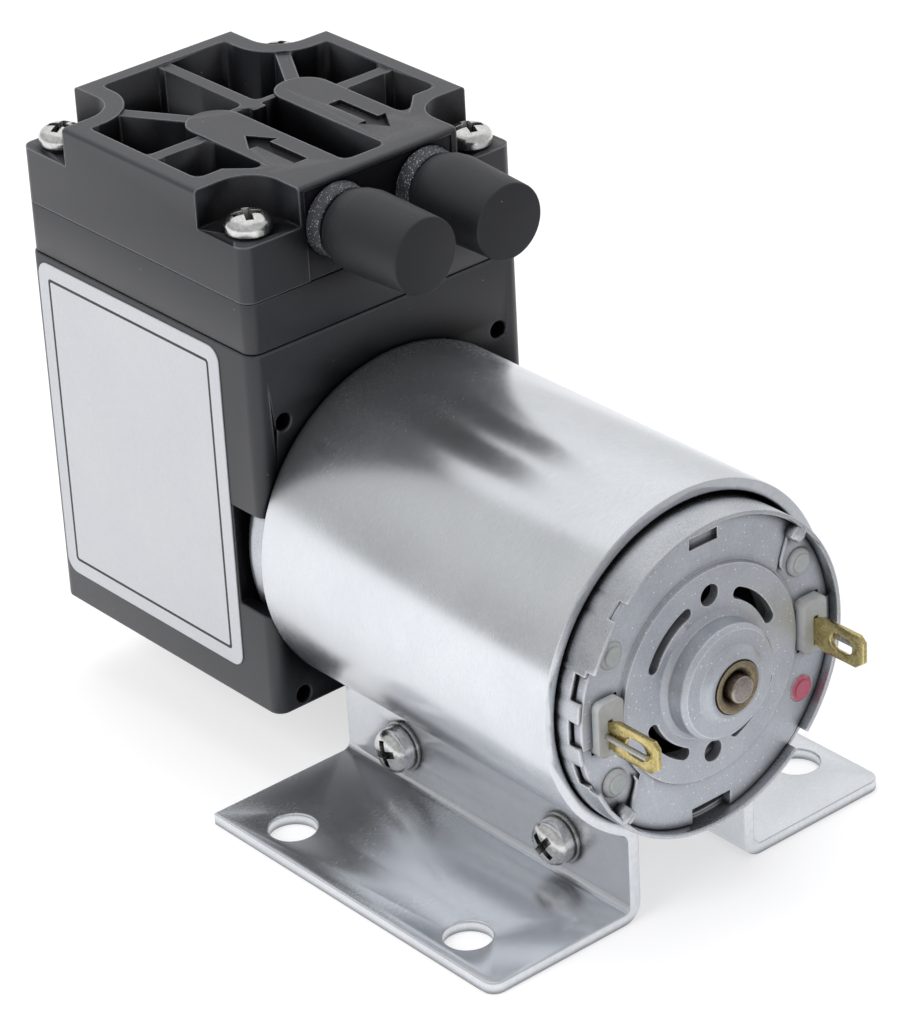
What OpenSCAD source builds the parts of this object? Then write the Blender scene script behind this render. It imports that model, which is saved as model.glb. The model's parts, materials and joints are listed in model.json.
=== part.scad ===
// Mini diaphragm vacuum pump: a brushed DC motor drives a crank whose rod works a rubber
// diaphragm under a valve plate and a ribbed cover with two hose ports.
// Millimetres. The origin is the centre of the four foot holes, on the underside of the feet.
// X points right, Y back towards the pump head, Z up.

/* [Motor] */
// Outside diameter of the motor can
can_d = 27.7; // [26:0.1:28]
// Length of the motor can from its closed end to its rim
can_len = 42.5; // [38:0.5:50]
// Wall of the motor can
can_wall = 0.75; // [0.5:0.05:1]
// Rounding of the can's closed end
can_round = 1.6; // [0.8:0.1:2]
// Wall of the thin rim at the can's mouth, which is staked over the end plate
rim_wall = 0.4; // [0.3:0.05:0.5]
// Diameter of the motor shaft
shaft_d = 2.3; // [2:0.1:2.6]
// Length of the shaft that stands out of the end bell's bush
shaft_tip = 0.6; // [0.3:0.1:2]
// Diameter of the locating boss on the can's closed end
boss_d = 9; // [8:0.1:10]
// Height of the locating boss
boss_h = 1.4; // [1:0.1:1.8]
// Pitch circle of the two screws that hold the motor to the crankcase
motor_screw_pcd = 16; // [15:0.1:17]
// Thread diameter of the motor screws
motor_screw_d = 2.5; // [2:0.1:2.6]

/* [End bell] */
// Depth of the end plate below the can's rim
plate_recess = 0.9; // [0.6:0.1:1.4]
// Thickness of the end plate
plate_t = 0.9; // [0.7:0.05:1.2]
// Diameter of the raised middle of the end plate
dome_d = 18.6; // [18:0.1:19]
// Height of the raised middle
dome_h = 0.35; // [0.3:0.05:0.6]
// Diameter of the bearing tower
tower_d = 10; // [9.6:0.1:10.4]
// Height of the bearing tower above the raised middle
tower_h = 2.15; // [1.4:0.05:2.4]
// Radius of the middle line of the arc vents
vent_r = 6.8; // [6.7:0.05:6.9]
// Width of the arc vents
vent_w = 1.05; // [0.8:0.05:1.1]
// Diameter of the two round vents
vent_hole_d = 1.9; // [1.5:0.1:2]
// Outside diameter of the bronze bushes
bush_d = 4.5; // [4.2:0.1:4.8]
// Diameter of the nylon stakes
stake_d = 2.4; // [2:0.1:2.6]
// Distance of the stakes from the upright middle plane
stake_x = 10.1; // [9.9:0.05:10.2]
// Distance of the stakes from the level middle plane
stake_z = 5.8; // [5.4:0.1:6]
// Width of a solder terminal
terminal_w = 3; // [2.6:0.1:3.2]
// Thickness of a solder terminal
terminal_t = 0.45; // [0.3:0.05:0.6]
// Length of a solder terminal beyond the nylon block
terminal_len = 5.5; // [4:0.1:7]
// Distance of a terminal from the inside of the can
terminal_inset = 2; // [1.8:0.1:2.2]
// Distance of the middle of a terminal below the level middle plane
terminal_drop = 0.5; // [0:0.1:0.8]

/* [Clamp bracket] */
// Thickness of the bracket's sheet
sheet_t = 1.1; // [0.8:0.05:1.4]
// Length of the bracket along the motor
sleeve_len = 35; // [30:0.5:36]
// Play between the sleeve and the can
sleeve_play = 0.25; // [0.05:0.05:0.3]
// Height of the flat part of a flange, between its two bends
flange_h = 5.7; // [5.2:0.1:8]
// Gap between the two flanges
flange_gap = 11.6; // [10:0.1:14]
// Inside radius of the bend from sleeve to flange
sleeve_bend = 1.2; // [0.6:0.1:1.5]
// Inside radius of the bend from flange to foot
foot_bend = 0.7; // [0.4:0.1:1]
// Width over both feet
foot_span = 43.4; // [42:0.1:48]
// Diameter of the foot holes
foot_hole_d = 4.1; // [3:0.1:4.4]
// Spacing of the foot holes across the motor
foot_hole_x = 36.7; // [35:0.1:38]
// Spacing of the foot holes along the motor
foot_hole_y = 22.3; // [18:0.1:24]
// Distance from the sleeve's back edge to the back foot holes
foot_hole_back = 5.9; // [5:0.1:7]
// Length by which flanges and feet reach back beyond the sleeve, under the crankcase
foot_behind = 0.55; // [0.3:0.05:2]
// Radius of the feet's front corners
foot_corner = 1.2; // [0.4:0.1:2]
// Thread diameter of the clamp screws
clamp_screw_d = 2; // [1.6:0.1:2.2]
// Distance from the bracket's back edge to the first clamp screw
clamp_screw_back = 7.1; // [6:0.1:9]
// Distance between the two clamp screws
clamp_screw_pitch = 19.9; // [16:0.1:21]

/* [Pump head] */
// Width of the pump head
body_w = 28.8; // [28.2:0.1:32]
// Depth of the pump head along the motor axis
body_d = 30.4; // [29:0.1:33]
// Distance from the motor axis down to the bottom of the crankcase
case_below = 14.1; // [14:0.1:16]
// Distance from the motor axis up to the top of the crankcase
case_above = 19.6; // [19.4:0.1:23]
// Thickness of the valve plate
valve_plate_t = 4.6; // [4.4:0.1:6]
// Height of the cover
cover_h = 8.4; // [8:0.1:10]
// Thickness of the cover under the screw heads
ledge_t = 5; // [4.4:0.1:5.4]
// Radius of the upright corners
corner_r = 1.2; // [0.6:0.1:1.6]
// Depth of the motor's seat in the crankcase
can_seat = 4.2; // [3:0.1:4.6]
// Thinnest side wall beside the motor's seat
side_wall_min = 1.25; // [0.8:0.05:1.4]
// Thickness of the wall that carries the motor
motor_wall = 2.1; // [1.6:0.1:2.6]
// Outer walls of the crankcase
case_wall = 2.4; // [1.8:0.1:2.8]
// Diameter of the pilot holes in the front face
pilot_d = 1.5; // [1:0.1:1.8]
// Sideways distance of those pilot holes from the axis
pilot_x = 11.6; // [11.2:0.1:11.8]
// Distance of those pilot holes above and below the axis
pilot_z = 12.9; // [12.7:0.1:13]

/* [Cover top] */
// Thickness of the cover's outer wall round the pockets
rim_t = 1.75; // [1.2:0.05:2]
// Thickness of the ribs between the pockets
rib_t = 1.3; // [1:0.1:1.8]
// Thickness of the floor under the pockets, above the valve wells
pocket_floor = 0.8; // [0.6:0.1:1]
// Depth of the step for a screw head, measured from the side of the cover
notch_x = 6.1; // [5.6:0.05:6.2]
// Depth of the front steps, measured from the front of the cover
notch_y = 6; // [5.6:0.05:6.2]
// Depth of the back steps, measured from the back of the cover
notch_back = 6.5; // [5.8:0.05:6.6]
// Thickness of the wall round a step's inner corner
notch_wall = 1.7; // [1.4:0.1:2]
// Radius of the step's inner corner
notch_r = 3.2; // [2:0.1:3.6]
// Rounding of the cover's straight top edges
top_edge = 0.4; // [0.2:0.05:0.6]
// Depth by which the ribs lie below the channels
rib_drop = 0.2; // [0.1:0.05:0.5]
// Height of the seats under the cover screws' heads
seat_h = 0.25; // [0.2:0.05:0.4]
// Height of the lip along the cover's front top edge
lip_h = 0.5; // [0.4:0.05:0.6]
// Depth by which the cover's front face lies behind that lip
lip_step = 0.1; // [0.05:0.05:0.2]
// Distance of each port from the upright middle plane
port_x = 4.7; // [4.6:0.05:4.8]
// Width of the raised channel over each port's duct
channel_w = 5; // [4.6:0.1:5.2]
// Distance from the cover's front face to the middle of a valve
valve_y = 15.5; // [15:0.1:16]
// Length of the engraved flow arrows
arrow_len = 7.3; // [5:0.1:9]
// Width of the arrows' heads
arrow_w = 3; // [2:0.1:3.6]
// Distance of the arrows from the cover's front face
arrow_y = 4.2; // [3:0.1:5]
// Depth of the engraved flow arrows
arrow_depth = 0.4; // [0.2:0.05:0.6]

/* [Ports] */
// Outside diameter of a hose port
port_d = 4.6; // [4:0.1:5]
// Bore of a hose port
port_bore = 2.6; // [2:0.1:3]
// Length of a hose port beyond the cover's front face
port_len = 9.6; // [7:0.1:14]
// Height of the ports below the cover's top face
port_drop = 3.8; // [3.6:0.05:4]
// Diameter of the collar at the root of each port
collar_d = 6; // [5.6:0.1:7]
// Length of that collar
collar_len = 1.3; // [0.6:0.1:1.6]
// Diameter of a transit cap at its mouth
cap_mouth_d = 6; // [5.8:0.1:6.6]
// Largest diameter of a transit cap
cap_d = 7.1; // [6.8:0.1:7.8]
// Diameter of a transit cap at its closed end
cap_tip_d = 6.6; // [6.4:0.1:7]
// Angle at which the soft caps lean towards each other
cap_lean = 1.8; // [0:0.1:2]
// Thickness of a transit cap's closed end
cap_end_t = 1; // [0.6:0.1:2]

/* [Crank and diaphragm] */
// Throw of the crank, which is half the stroke
throw = 1.5; // [1.2:0.05:1.6]
// Diameter of the crank hub on the motor shaft
hub_d = 11; // [10:0.1:12]
// Length of the crank hub
hub_len = 5.2; // [4.6:0.1:5.4]
// Radius of the counterweight
weight_r = 9; // [8:0.1:9.6]
// Length of the counterweight
weight_len = 2.6; // [2:0.1:3]
// Diameter of the crank pin
pin_d = 4; // [3.6:0.1:4.2]
// Outside diameter of the ball bearing
bearing_d = 11; // [10.6:0.1:11.4]
// Width of the ball bearing
bearing_w = 4; // [3.4:0.1:4.4]
// Number of balls in the bearing
ball_count = 7; // [6:1:7]
// Wall of the connecting rod's big end
rod_wall = 2.1; // [1.6:0.1:2.4]
// Width of the connecting rod's shank
shank_w = 6; // [4:0.1:8]
// Diameter of the discs that clamp the middle of the diaphragm
clamp_d = 12; // [11:0.1:12.6]
// Thickness of the upper clamp disc
clamp_t = 1; // [0.8:0.1:1.2]
// Thickness of the connecting rod's head
rod_head_t = 1.5; // [1.2:0.1:2]
// Thickness of the diaphragm
diaphragm_t = 1; // [0.8:0.05:1.2]
// Outside diameter of the diaphragm
diaphragm_d = 23; // [22:0.1:24]
// Diameter of the pumping chamber
chamber_d = 18.4; // [18:0.1:19]
// Depth of the pumping chamber in the valve plate
chamber_h = 2.4; // [2.2:0.05:2.6]
// Room left above the clamp disc at the top of the stroke
dead_gap = 0.6; // [0.4:0.05:0.8]
// Diameter of an umbrella valve's head
valve_d = 5.6; // [5:0.1:5.8]

/* [Screws and label] */
// Thread diameter of the cover screws
cover_screw_d = 2; // [1.8:0.1:2.2]
// Length of the cover screws under the head
cover_screw_len = 14; // [13:0.5:14.5]
// Distance of the cover screws from the upright middle plane
cover_screw_x = 11.7; // [11.5:0.1:11.8]
// Distance of the cover screws from the front or back of the head
cover_screw_y = 2.6; // [2.5:0.05:2.8]
// Diameter of the pan heads
head_d = 3.9; // [3.4:0.1:4.2]
// Height of the pan heads
head_h = 1.5; // [1.2:0.1:1.8]
// Height of the label on the side of the crankcase
label_h = 30.1; // [20:0.1:31]
// Thickness of the label
label_t = 0.12; // [0.08:0.02:0.3]

/* [Hidden] */
$fn = 64;
eps = 0.02;

// Clearances
fit_gap = 0.1;        // loose fits of still parts
press_gap = 0.01;     // parts pressed together
run_gap = 0.04;       // shaft in its bushes
hole_gap = 0.2;       // screw diameter to clearance hole diameter
face_gap = 0.1;       // bracket to crankcase

// Places along the motor axis, counted forward from the crankcase's front face
face_y = foot_hole_y / 2 + foot_hole_back + face_gap;
can_front = can_len - can_seat;
plate_face = can_front - plate_recess;
dome_face = plate_face + dome_h;
tower_face = dome_face + tower_h;
bush_face = tower_face + 0.9;
shaft_end = bush_face + shaft_tip;
can_in = can_d / 2 - can_wall;

// Heights above the motor axis
plate_bottom = case_above;
plate_top = case_above + valve_plate_t;
cover_top = plate_top + cover_h;
ledge_top = plate_top + ledge_t;
port_z = cover_top - port_drop;
chamber_top = plate_bottom + chamber_h;

// The crank at the bottom of its stroke, which is how the part is stored
rod_y = body_d / 2;
pin_z = -throw;
clamp_top = chamber_top - dead_gap - 2 * throw;
membrane_top = clamp_top - clamp_t;
membrane_bottom = membrane_top - diaphragm_t;
rod_head_bottom = membrane_bottom - rod_head_t;

// Stations of the crank, counted back from the crankcase's front face
hub_y0 = can_seat + motor_wall + 0.7;
hub_y1 = hub_y0 + hub_len;
// The counterweight passes behind the motor screws' heads
weight_y0 = can_seat + motor_wall + face_gap + head_h + 0.4;
bearing_y0 = rod_y - bearing_w / 2;
bearing_y1 = rod_y + bearing_w / 2;
rod_side = 0.2;
race_t = 0.9;
ball_d = 1.6;
ball_r = (bearing_d + pin_d) / 4;

// Valve seats
well_r = valve_d / 2 + 0.5;
well_h = 1.8;
valve_recess = 0.9;
stem_d = 1.5;
seal_d = 0.7;
seal_r = well_r + 0.65;

// Moves children so that their Z runs forward along the motor axis, from the crankcase's face
module on_axis() {
    translate([0, face_y, axis_h]) rotate([90, 0, 0]) children();
}

// Moves children to the pump head: Y back from the front face, Z up from the motor axis
module in_head() {
    translate([0, face_y, axis_h]) children();
}

module tube(outer_d, inner_d, height) {
    difference() {
        cylinder(d = outer_d, h = height);
        translate([0, 0, -1]) cylinder(d = inner_d, h = height + 2);
    }
}

// A rectangle with true round corners, from its two opposite corners
module round_rect(low, high, radius) {
    translate([low[0] + radius, low[1]])
        square([high[0] - low[0] - 2 * radius, high[1] - low[1]]);
    translate([low[0], low[1] + radius])
        square([high[0] - low[0], high[1] - low[1] - 2 * radius]);
    for (x = [low[0] + radius, high[0] - radius], y = [low[1] + radius, high[1] - radius])
        translate([x, y]) circle(r = radius);
}

// A wedge of the plane between two angles, as a polygon with its tip at the origin
module wedge(from, to, reach) {
    steps = 6;
    polygon(concat([[0, 0]],
        [for (i = [0 : steps]) let (a = from + (to - from) * i / steps)
            2 * reach * [cos(a), sin(a)]]));
}

module ring_sector(outer_r, inner_r, from, to) {
    intersection() {
        difference() {
            circle(r = outer_r);
            circle(r = inner_r);
        }
        wedge(from, to, outer_r);
    }
}

// A slot along an arc, with round ends; its straight part stops just short of their middles,
// so that the arcs cross and don't merely touch
module arc_slot(radius, width, from, to) {
    short = 0.5;
    ring_sector(radius + width / 2, radius - width / 2, from + short, to - short);
    for (a = [from, to]) rotate(a) translate([radius, 0]) circle(d = width);
}

// A pan head with a cross recess, under it a plain shank down -Z
module pan_screw(thread, length) {
    round = head_h * 0.45;
    wing = head_d * 0.14;
    difference() {
        union() {
            rotate_extrude() {
                square([head_d / 2 - round, head_h]);
                square([head_d / 2, head_h - round]);
                translate([head_d / 2 - round, head_h - round]) circle(r = round);
            }
            translate([0, 0, -length]) cylinder(d = thread, h = length + eps);
        }
        for (turn = [0, 90]) rotate(turn)
            translate([-head_d * 0.32, -wing / 2, head_h * 0.35])
                cube([head_d * 0.64, wing, head_h]);
    }
}

/* Clamp bracket */

sleeve_r = can_d / 2 + sleeve_play;
sleeve_out = sleeve_r + sheet_t;
flange_in = flange_gap / 2;
flange_out = flange_in + sheet_t;
// The sleeve rests on the can from below, so that its middle sits above the axis
sleeve_z = sleeve_play * 0.9;
bend_x = flange_out + sleeve_bend;
bend_z = sleeve_z - sqrt(pow(sleeve_out + sleeve_bend, 2) - bend_x * bend_x);
bend_angle = atan2(bend_z - sleeve_z, bend_x);
// Height of the motor axis above the foot underside
axis_h = sheet_t + foot_bend + flange_h - bend_z;
foot_top = -axis_h + sheet_t;
clamp_screw_z = sheet_t + foot_bend + flange_h / 2;

// Section of one flange with its foot, in the plane across the motor axis
module leg_half(top) {
    translate([flange_in, foot_top + foot_bend - eps])
        square([sheet_t, top - foot_top - foot_bend + 2 * eps]);
    translate([flange_out + foot_bend, foot_top + foot_bend])
        ring_sector(foot_bend + sheet_t, foot_bend, 180, 270);
    translate([flange_out + foot_bend - eps, -axis_h])
        square([foot_span / 2 - flange_out - foot_bend + eps, sheet_t]);
}

// Section of one half of the whole sheet
module bracket_half() {
    merge = 0.5;
    translate([0, sleeve_z])
        ring_sector(sleeve_out, sleeve_r, bend_angle - merge, 90 + merge);
    translate([bend_x, bend_z])
        ring_sector(sleeve_bend + sheet_t, sleeve_bend, bend_angle + 180 - merge, 180);
    leg_half(bend_z);
}

clamp_screw_h = [face_gap + clamp_screw_back,
    face_gap + clamp_screw_back + clamp_screw_pitch];

module at_clamp_screws() {
    for (h = clamp_screw_h)
        translate([0, clamp_screw_z - axis_h, h]) rotate([0, -90, 0]) children();
}

module clamp_bracket() {
    color("gainsboro") on_axis() difference() {
        union() {
            translate([0, 0, face_gap]) linear_extrude(height = sleeve_len) {
                bracket_half();
                mirror([1, 0]) bracket_half();
            }
            for (side = [0, 1]) mirror([side, 0, 0])
                translate([0, 0, face_gap - foot_behind])
                    linear_extrude(height = 2 * foot_behind) leg_half(-case_below - fit_gap);
        }
        for (x = [-1, 1], h = [0, foot_hole_y])
            translate([x * foot_hole_x / 2, -axis_h - 1, face_gap + foot_hole_back + h])
                rotate([-90, 0, 0]) cylinder(d = foot_hole_d, h = sheet_t + 2);
        at_clamp_screws() translate([0, 0, -flange_out - 1])
            cylinder(d = clamp_screw_d + hole_gap, h = 2 * flange_out + 2);
        for (x = [-1, 1])
            translate([x * (foot_span / 2 - foot_corner), -axis_h - 1,
                    face_gap + sleeve_len - foot_corner])
                rotate([-90, 0, 0]) foot_corner_cut(x);
    }
}

// What a rounded front corner of a foot takes off
module foot_corner_cut(side) {
    difference() {
        translate([side > 0 ? 0 : -foot_corner - 1, -foot_corner - 1, 0])
            cube([foot_corner + 1, foot_corner + 1, sheet_t + 2]);
        translate([0, 0, -1]) cylinder(r = foot_corner, h = sheet_t + 4);
    }
}

washer_t = 0.35;
spring_washer_t = 0.5;
nut_t = 1.6;
clamp_grip = 2 * flange_out + 2 * washer_t + spring_washer_t + nut_t + 0.6;

module clamp_screws() {
    color("silver") on_axis() at_clamp_screws()
        translate([0, 0, flange_out + washer_t + spring_washer_t])
            pan_screw(clamp_screw_d, clamp_grip);
}

module clamp_flat_washers() {
    color("silver") on_axis() at_clamp_screws()
        for (z = [flange_out, -flange_out - washer_t])
            translate([0, 0, z])
                tube(head_d + 0.5, clamp_screw_d + hole_gap, washer_t);
}

module clamp_spring_washers() {
    color("silver") on_axis() at_clamp_screws()
        translate([0, 0, flange_out + washer_t]) difference() {
            tube(head_d, clamp_screw_d + hole_gap, spring_washer_t);
            rotate(200) translate([0, -0.2, -1]) cube([head_d, 0.4, spring_washer_t + 2]);
        }
}

module clamp_nuts() {
    color("silver") on_axis() at_clamp_screws()
        translate([0, 0, -flange_out - washer_t - nut_t]) difference() {
            cylinder(d = clamp_screw_d * 2.3, h = nut_t, $fn = 6);
            translate([0, 0, -1])
                cylinder(d = clamp_screw_d + 2 * press_gap, h = nut_t + 2);
        }
}

/* Motor shell */

boss_hole_d = bush_d + 2 * press_gap;
mouth_r = can_d / 2 - rim_wall;
plate_back = plate_face - plate_t;
// Half angle of the lowered part of the rim
rim_cut_w = 23;

// Cup section: closed end at -can_seat, rim at can_front
module can_section() {
    outer = can_d / 2;
    inner_round = can_round - can_wall * 0.8;
    difference() {
        union() {
            translate([0, -can_seat + can_round]) square([outer, can_len - can_round]);
            translate([0, -can_seat]) square([outer - can_round, can_round + eps]);
            translate([outer - can_round, -can_seat + can_round]) circle(r = can_round);
            translate([0, -can_seat - boss_h]) square([boss_d / 2, boss_h + eps]);
        }
        translate([-outer, -can_seat - boss_h - 1]) square([outer, can_len + boss_h + 2]);
        translate([0, -can_seat + can_wall + inner_round]) square([can_in, can_len]);
        translate([0, -can_seat + can_wall])
            square([can_in - inner_round, inner_round + eps]);
        translate([can_in - inner_round, -can_seat + can_wall + inner_round])
            circle(r = inner_round);
        translate([0, plate_back]) square([mouth_r, can_len]);
        translate([0, -can_seat - boss_h - 1]) square([boss_hole_d / 2, boss_h + 3]);
    }
}

module motor_can() {
    color("lightslategray") on_axis() {
        difference() {
            rotate_extrude(convexity = 6) can_section();
            for (x = [-1, 1]) translate([x * motor_screw_pcd / 2, 0, -can_seat - 1])
                cylinder(d = motor_screw_d + 2 * press_gap, h = 3);
            // Lowered rim with three gaps beside the left terminal
            rotate(180) {
                translate([0, 0, can_front - plate_recess]) linear_extrude(height = 2)
                    wedge(-rim_cut_w, rim_cut_w, can_d);
                for (turn = [-16.5, 0, 16.5]) rotate(turn)
                    translate([can_in - 1, -1.1, can_front - plate_recess - 1.1])
                        cube([3, 2.2, 3]);
            }
            // Single gaps in the rim
            for (turn = [135, -47]) rotate(turn)
                translate([can_in - 1, -0.8, can_front - plate_recess])
                    cube([3, 1.6, 2]);
        }
        // Rim lugs staked over the end plate
        for (turn = [43.6, -138]) rotate(turn)
            translate([mouth_r - 1, -0.7, plate_face])
                cube([1 + rim_wall / 2, 1.4, plate_recess - 0.1]);
    }
}

/* End bell and brush gear */

block_half = 2.4;
block_in = 9.7;
block_out = can_in - 0.8;
block_rise = 0.8;
block_round = 0.6;
ear_drop = 0.2;
notch_half = 2.1;
notch_in = mouth_r - 1.6;
dome_back = dome_face - plate_t;
terminal_x = can_in - terminal_inset;

module end_bell() {
    tower_r = tower_d / 2;
    color("lightsteelblue") on_axis() difference() {
        rotate_extrude(convexity = 6) polygon([
            [mouth_r - press_gap, plate_back], [mouth_r - press_gap, plate_face],
            [dome_d / 2 + 0.2, plate_face], [dome_d / 2, dome_face],
            [tower_r + 0.5, dome_face], [tower_r, dome_face + 0.35],
            [tower_r, tower_face - 0.35], [tower_r - 0.4, tower_face],
            [tower_r - 1.6, tower_face + 0.15], [tower_r - 1.9, tower_face + 0.5],
            [bush_d / 2 + 0.5, bush_face - 0.15], [bush_d / 2 + press_gap, bush_face - 0.15],
            [bush_d / 2 + press_gap, tower_face - 1.5],
            [tower_r - plate_t, tower_face - 1.5], [tower_r - plate_t, dome_back],
            [dome_d / 2 - plate_t, dome_back], [dome_d / 2 - plate_t, plate_back]]);
        translate([0, 0, plate_back - 1]) linear_extrude(height = plate_t + dome_h + 3)
            for (quadrant = [0 : 90 : 270])
                rotate(quadrant) arc_slot(vent_r, vent_w, 21.5, 63.5);
        for (turn = [90, 270]) rotate(turn)
            translate([vent_r + 0.3, 0, plate_back - 1])
                cylinder(d = vent_hole_d, h = plate_t + dome_h + 3);
        for (x = [-1, 1], z = [-1, 1])
            translate([x * stake_x, z * stake_z, plate_back - 1])
                cylinder(d = stake_d + 2 * press_gap, h = plate_t + 2);
        // Openings for the nylon terminal blocks
        for (x = [-1, 1])
            translate([x > 0 ? block_in - press_gap : -block_out - press_gap,
                    -block_half - press_gap, plate_back - 1])
                cube([block_out - block_in + 2 * press_gap, 2 * block_half + 2 * press_gap,
                    plate_t + 2]);
        // The plate steps down towards the crimps
        for (turn = [0, 180]) rotate(turn)
            translate([0, 0, plate_face - ear_drop]) linear_extrude(height = 1) difference() {
                polygon([[7.2, 5.3], [8.9, 9.4], [mouth_r, mouth_r + 1],
                    [mouth_r + 2, mouth_r + 1], [mouth_r + 2, 1.5], [7.2, 1.5]]);
                circle(r = dome_d / 2 + 0.35);
            }
        // A shallow pocket in the edge above the shaft, a notch below it
        translate([-notch_half + 0.4, notch_in - 0.3, plate_face - 0.4])
            cube([2 * notch_half - 1.2, 1, 1]);
        translate([-notch_half, -mouth_r - 1, plate_back - 1])
            cube([2 * notch_half, mouth_r + 1 - notch_in, plate_t + 2]);
    }
}

// Outline of the nylon block round a terminal
module block_outline(side) {
    round_rect([side > 0 ? block_in : -block_out, -block_half],
        [side > 0 ? block_out : -block_in, block_half], block_round);
}

// Slot in the nylon for a terminal's foot
module terminal_slot(side, from, height) {
    translate([side * terminal_x - terminal_t / 2 - press_gap,
            -terminal_drop - terminal_w / 2 + 0.2, from])
        cube([terminal_t + 2 * press_gap, terminal_w - 0.4, height]);
}

holder_t = 1.6;
holder_back = plate_back - holder_t;

module brush_holder() {
    color("whitesmoke") on_axis() {
        difference() {
            translate([0, 0, holder_back])
                tube(2 * can_in - 0.6, 2 * (vent_r + vent_w), holder_t);
            for (x = [-1, 1]) terminal_slot(x, holder_back - 1, holder_t + 2);
            translate([-notch_half - 0.4, -can_in, holder_back - 1])
                cube([2 * notch_half + 0.8, can_in - notch_in + 0.4, holder_t + 2]);
        }
        for (x = [-1, 1], z = [-1, 1]) translate([x * stake_x, z * stake_z, plate_back]) {
            cylinder(d = stake_d, h = plate_t);
            translate([0, 0, plate_t]) cylinder(d1 = stake_d, d2 = stake_d - 0.5, h = 0.2);
        }
        for (x = [-1, 1]) difference() {
            translate([0, 0, plate_back])
                linear_extrude(height = plate_t + block_rise) block_outline(x);
            terminal_slot(x, plate_back - 1, plate_t + block_rise + 2);
        }
    }
}

terminal_face = plate_face + block_rise;

// Blade outline: X up, Y forward from the nylon block
module terminal_blade() {
    half = terminal_w / 2;
    foot = half - 0.3;
    hole = 1.6;
    reach = terminal_len;
    difference() {
        polygon([[-foot, holder_back - terminal_face - 0.5],
            [foot, holder_back - terminal_face - 0.5],
            [foot, 0.1], [half, 0.9], [half, reach - 0.5], [half - 0.5, reach],
            [-half + 0.7, reach], [-half, reach - 0.9], [-half, 0.9], [-foot, 0.1]]);
        translate([0, reach - 2.9]) circle(d = hole);
        translate([0, reach - 2.1]) circle(d = hole);
        translate([-hole / 2, reach - 2.9]) square([hole, 0.8]);
    }
}

module terminal(side) {
    color("goldenrod") on_axis()
        translate([side * terminal_x - terminal_t / 2, -terminal_drop, terminal_face])
            rotate([90, 0, 90]) linear_extrude(height = terminal_t) terminal_blade();
}

module left_terminal() {
    terminal(-1);
}

module right_terminal() {
    terminal(1);
}

lead_d = 0.5;

// Tinned wires of the suppressor, laid along each terminal's outer side
module suppressor_leads() {
    color("silver") on_axis() for (side = [-1, 1])
        translate([side * (terminal_x + terminal_t / 2 + lead_d / 2), -terminal_drop,
                terminal_face])
            cylinder(d = lead_d, h = terminal_len - 0.9, $fn = 24);
}

comm_d = 6.6;
comm_len = 5.6;
comm_h0 = holder_back - 1.2 - comm_len;
brush_w = 2.4;
brush_len = 2.6;
brush_mid = comm_h0 + comm_len / 2;

module carbon_brushes() {
    color("dimgray") on_axis() for (side = [-1, 1])
        translate([side > 0 ? 0 : -comm_d / 2 - brush_len, -brush_w / 2, brush_mid - brush_w / 2])
            difference() {
                translate([side > 0 ? comm_d / 2 - 0.4 : 0, 0, 0])
                    cube([brush_len + 0.4, brush_w, brush_w]);
                translate([side > 0 ? 0 : comm_d / 2 + brush_len, brush_w / 2, -1])
                    cylinder(d = comm_d + 2 * fit_gap, h = brush_w + 2);
            }
}

// Leaf springs from the terminals to the brushes
module brush_arms() {
    arm_t = 0.3;
    arm_x = comm_d / 2 + brush_len;
    color("peru") on_axis() for (side = [-1, 1])
        mirror([side > 0 ? 0 : 1, 0, 0]) {
            translate([arm_x, -1.2, brush_mid - brush_w / 2])
                cube([arm_t, 2.4, holder_back - 0.5 - brush_mid + brush_w / 2]);
            translate([arm_x, -1.2, holder_back - 0.5 - arm_t])
                cube([terminal_x + terminal_t / 2 - arm_x, 2.4, arm_t]);
        }
}

bush_bore = shaft_d + 2 * run_gap;

module rear_bush() {
    color("darkgoldenrod") on_axis() difference() {
        translate([0, 0, tower_face - 3]) tube(bush_d, bush_bore, bush_face - tower_face + 3);
        translate([0, 0, bush_face - 0.45])
            cylinder(d1 = bush_bore, d2 = bush_bore + 1.3, h = 0.47);
    }
}

module front_bush() {
    color("darkgoldenrod") on_axis()
        translate([0, 0, -can_seat - boss_h])
            tube(bush_d, bush_bore, boss_h + can_wall + 0.6);
}

/* Magnets and rotor */

magnet_t = 2.7;
magnet_h0 = 3;
magnet_len = comm_h0 - 1.1 - magnet_h0;
rotor_r = can_in - 0.1 - magnet_t - 0.45;

module magnets() {
    color("dimgray") on_axis()
        translate([0, 0, magnet_h0]) linear_extrude(height = magnet_len)
            for (side = [0, 180]) rotate(side)
                ring_sector(can_in - press_gap, can_in - magnet_t, -66, 66);
}

// Springs that push the magnets apart, above and below the rotor
module magnet_springs() {
    color("silver") on_axis()
        translate([0, 0, magnet_h0 + 2]) linear_extrude(height = magnet_len - 4)
            for (side = [90, 270]) rotate(side) {
                ring_sector(can_in - press_gap, can_in - 0.5, -23, 23);
                for (turn = [-22.5, 22.5]) rotate(turn)
                    translate([can_in - 2, -0.25]) square([1.6, 0.5]);
            }
}

shaft_bevel = 0.15;

module motor_shaft() {
    color("silver") on_axis() translate([0, 0, -hub_y1 + 0.4]) {
        shaft_h = shaft_end + hub_y1 - 0.4;
        cylinder(d = shaft_d, h = shaft_h - shaft_bevel);
        translate([0, 0, shaft_h - shaft_bevel])
            cylinder(d1 = shaft_d, d2 = shaft_d - 2 * shaft_bevel, h = shaft_bevel);
    }
}

pole_count = 5;
tooth_w = 2.2;
shoe_t = 1.2;
stack_inset = 2;
stack_len = magnet_len - 2 * stack_inset;
stack_h0 = magnet_h0 + stack_inset;

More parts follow.
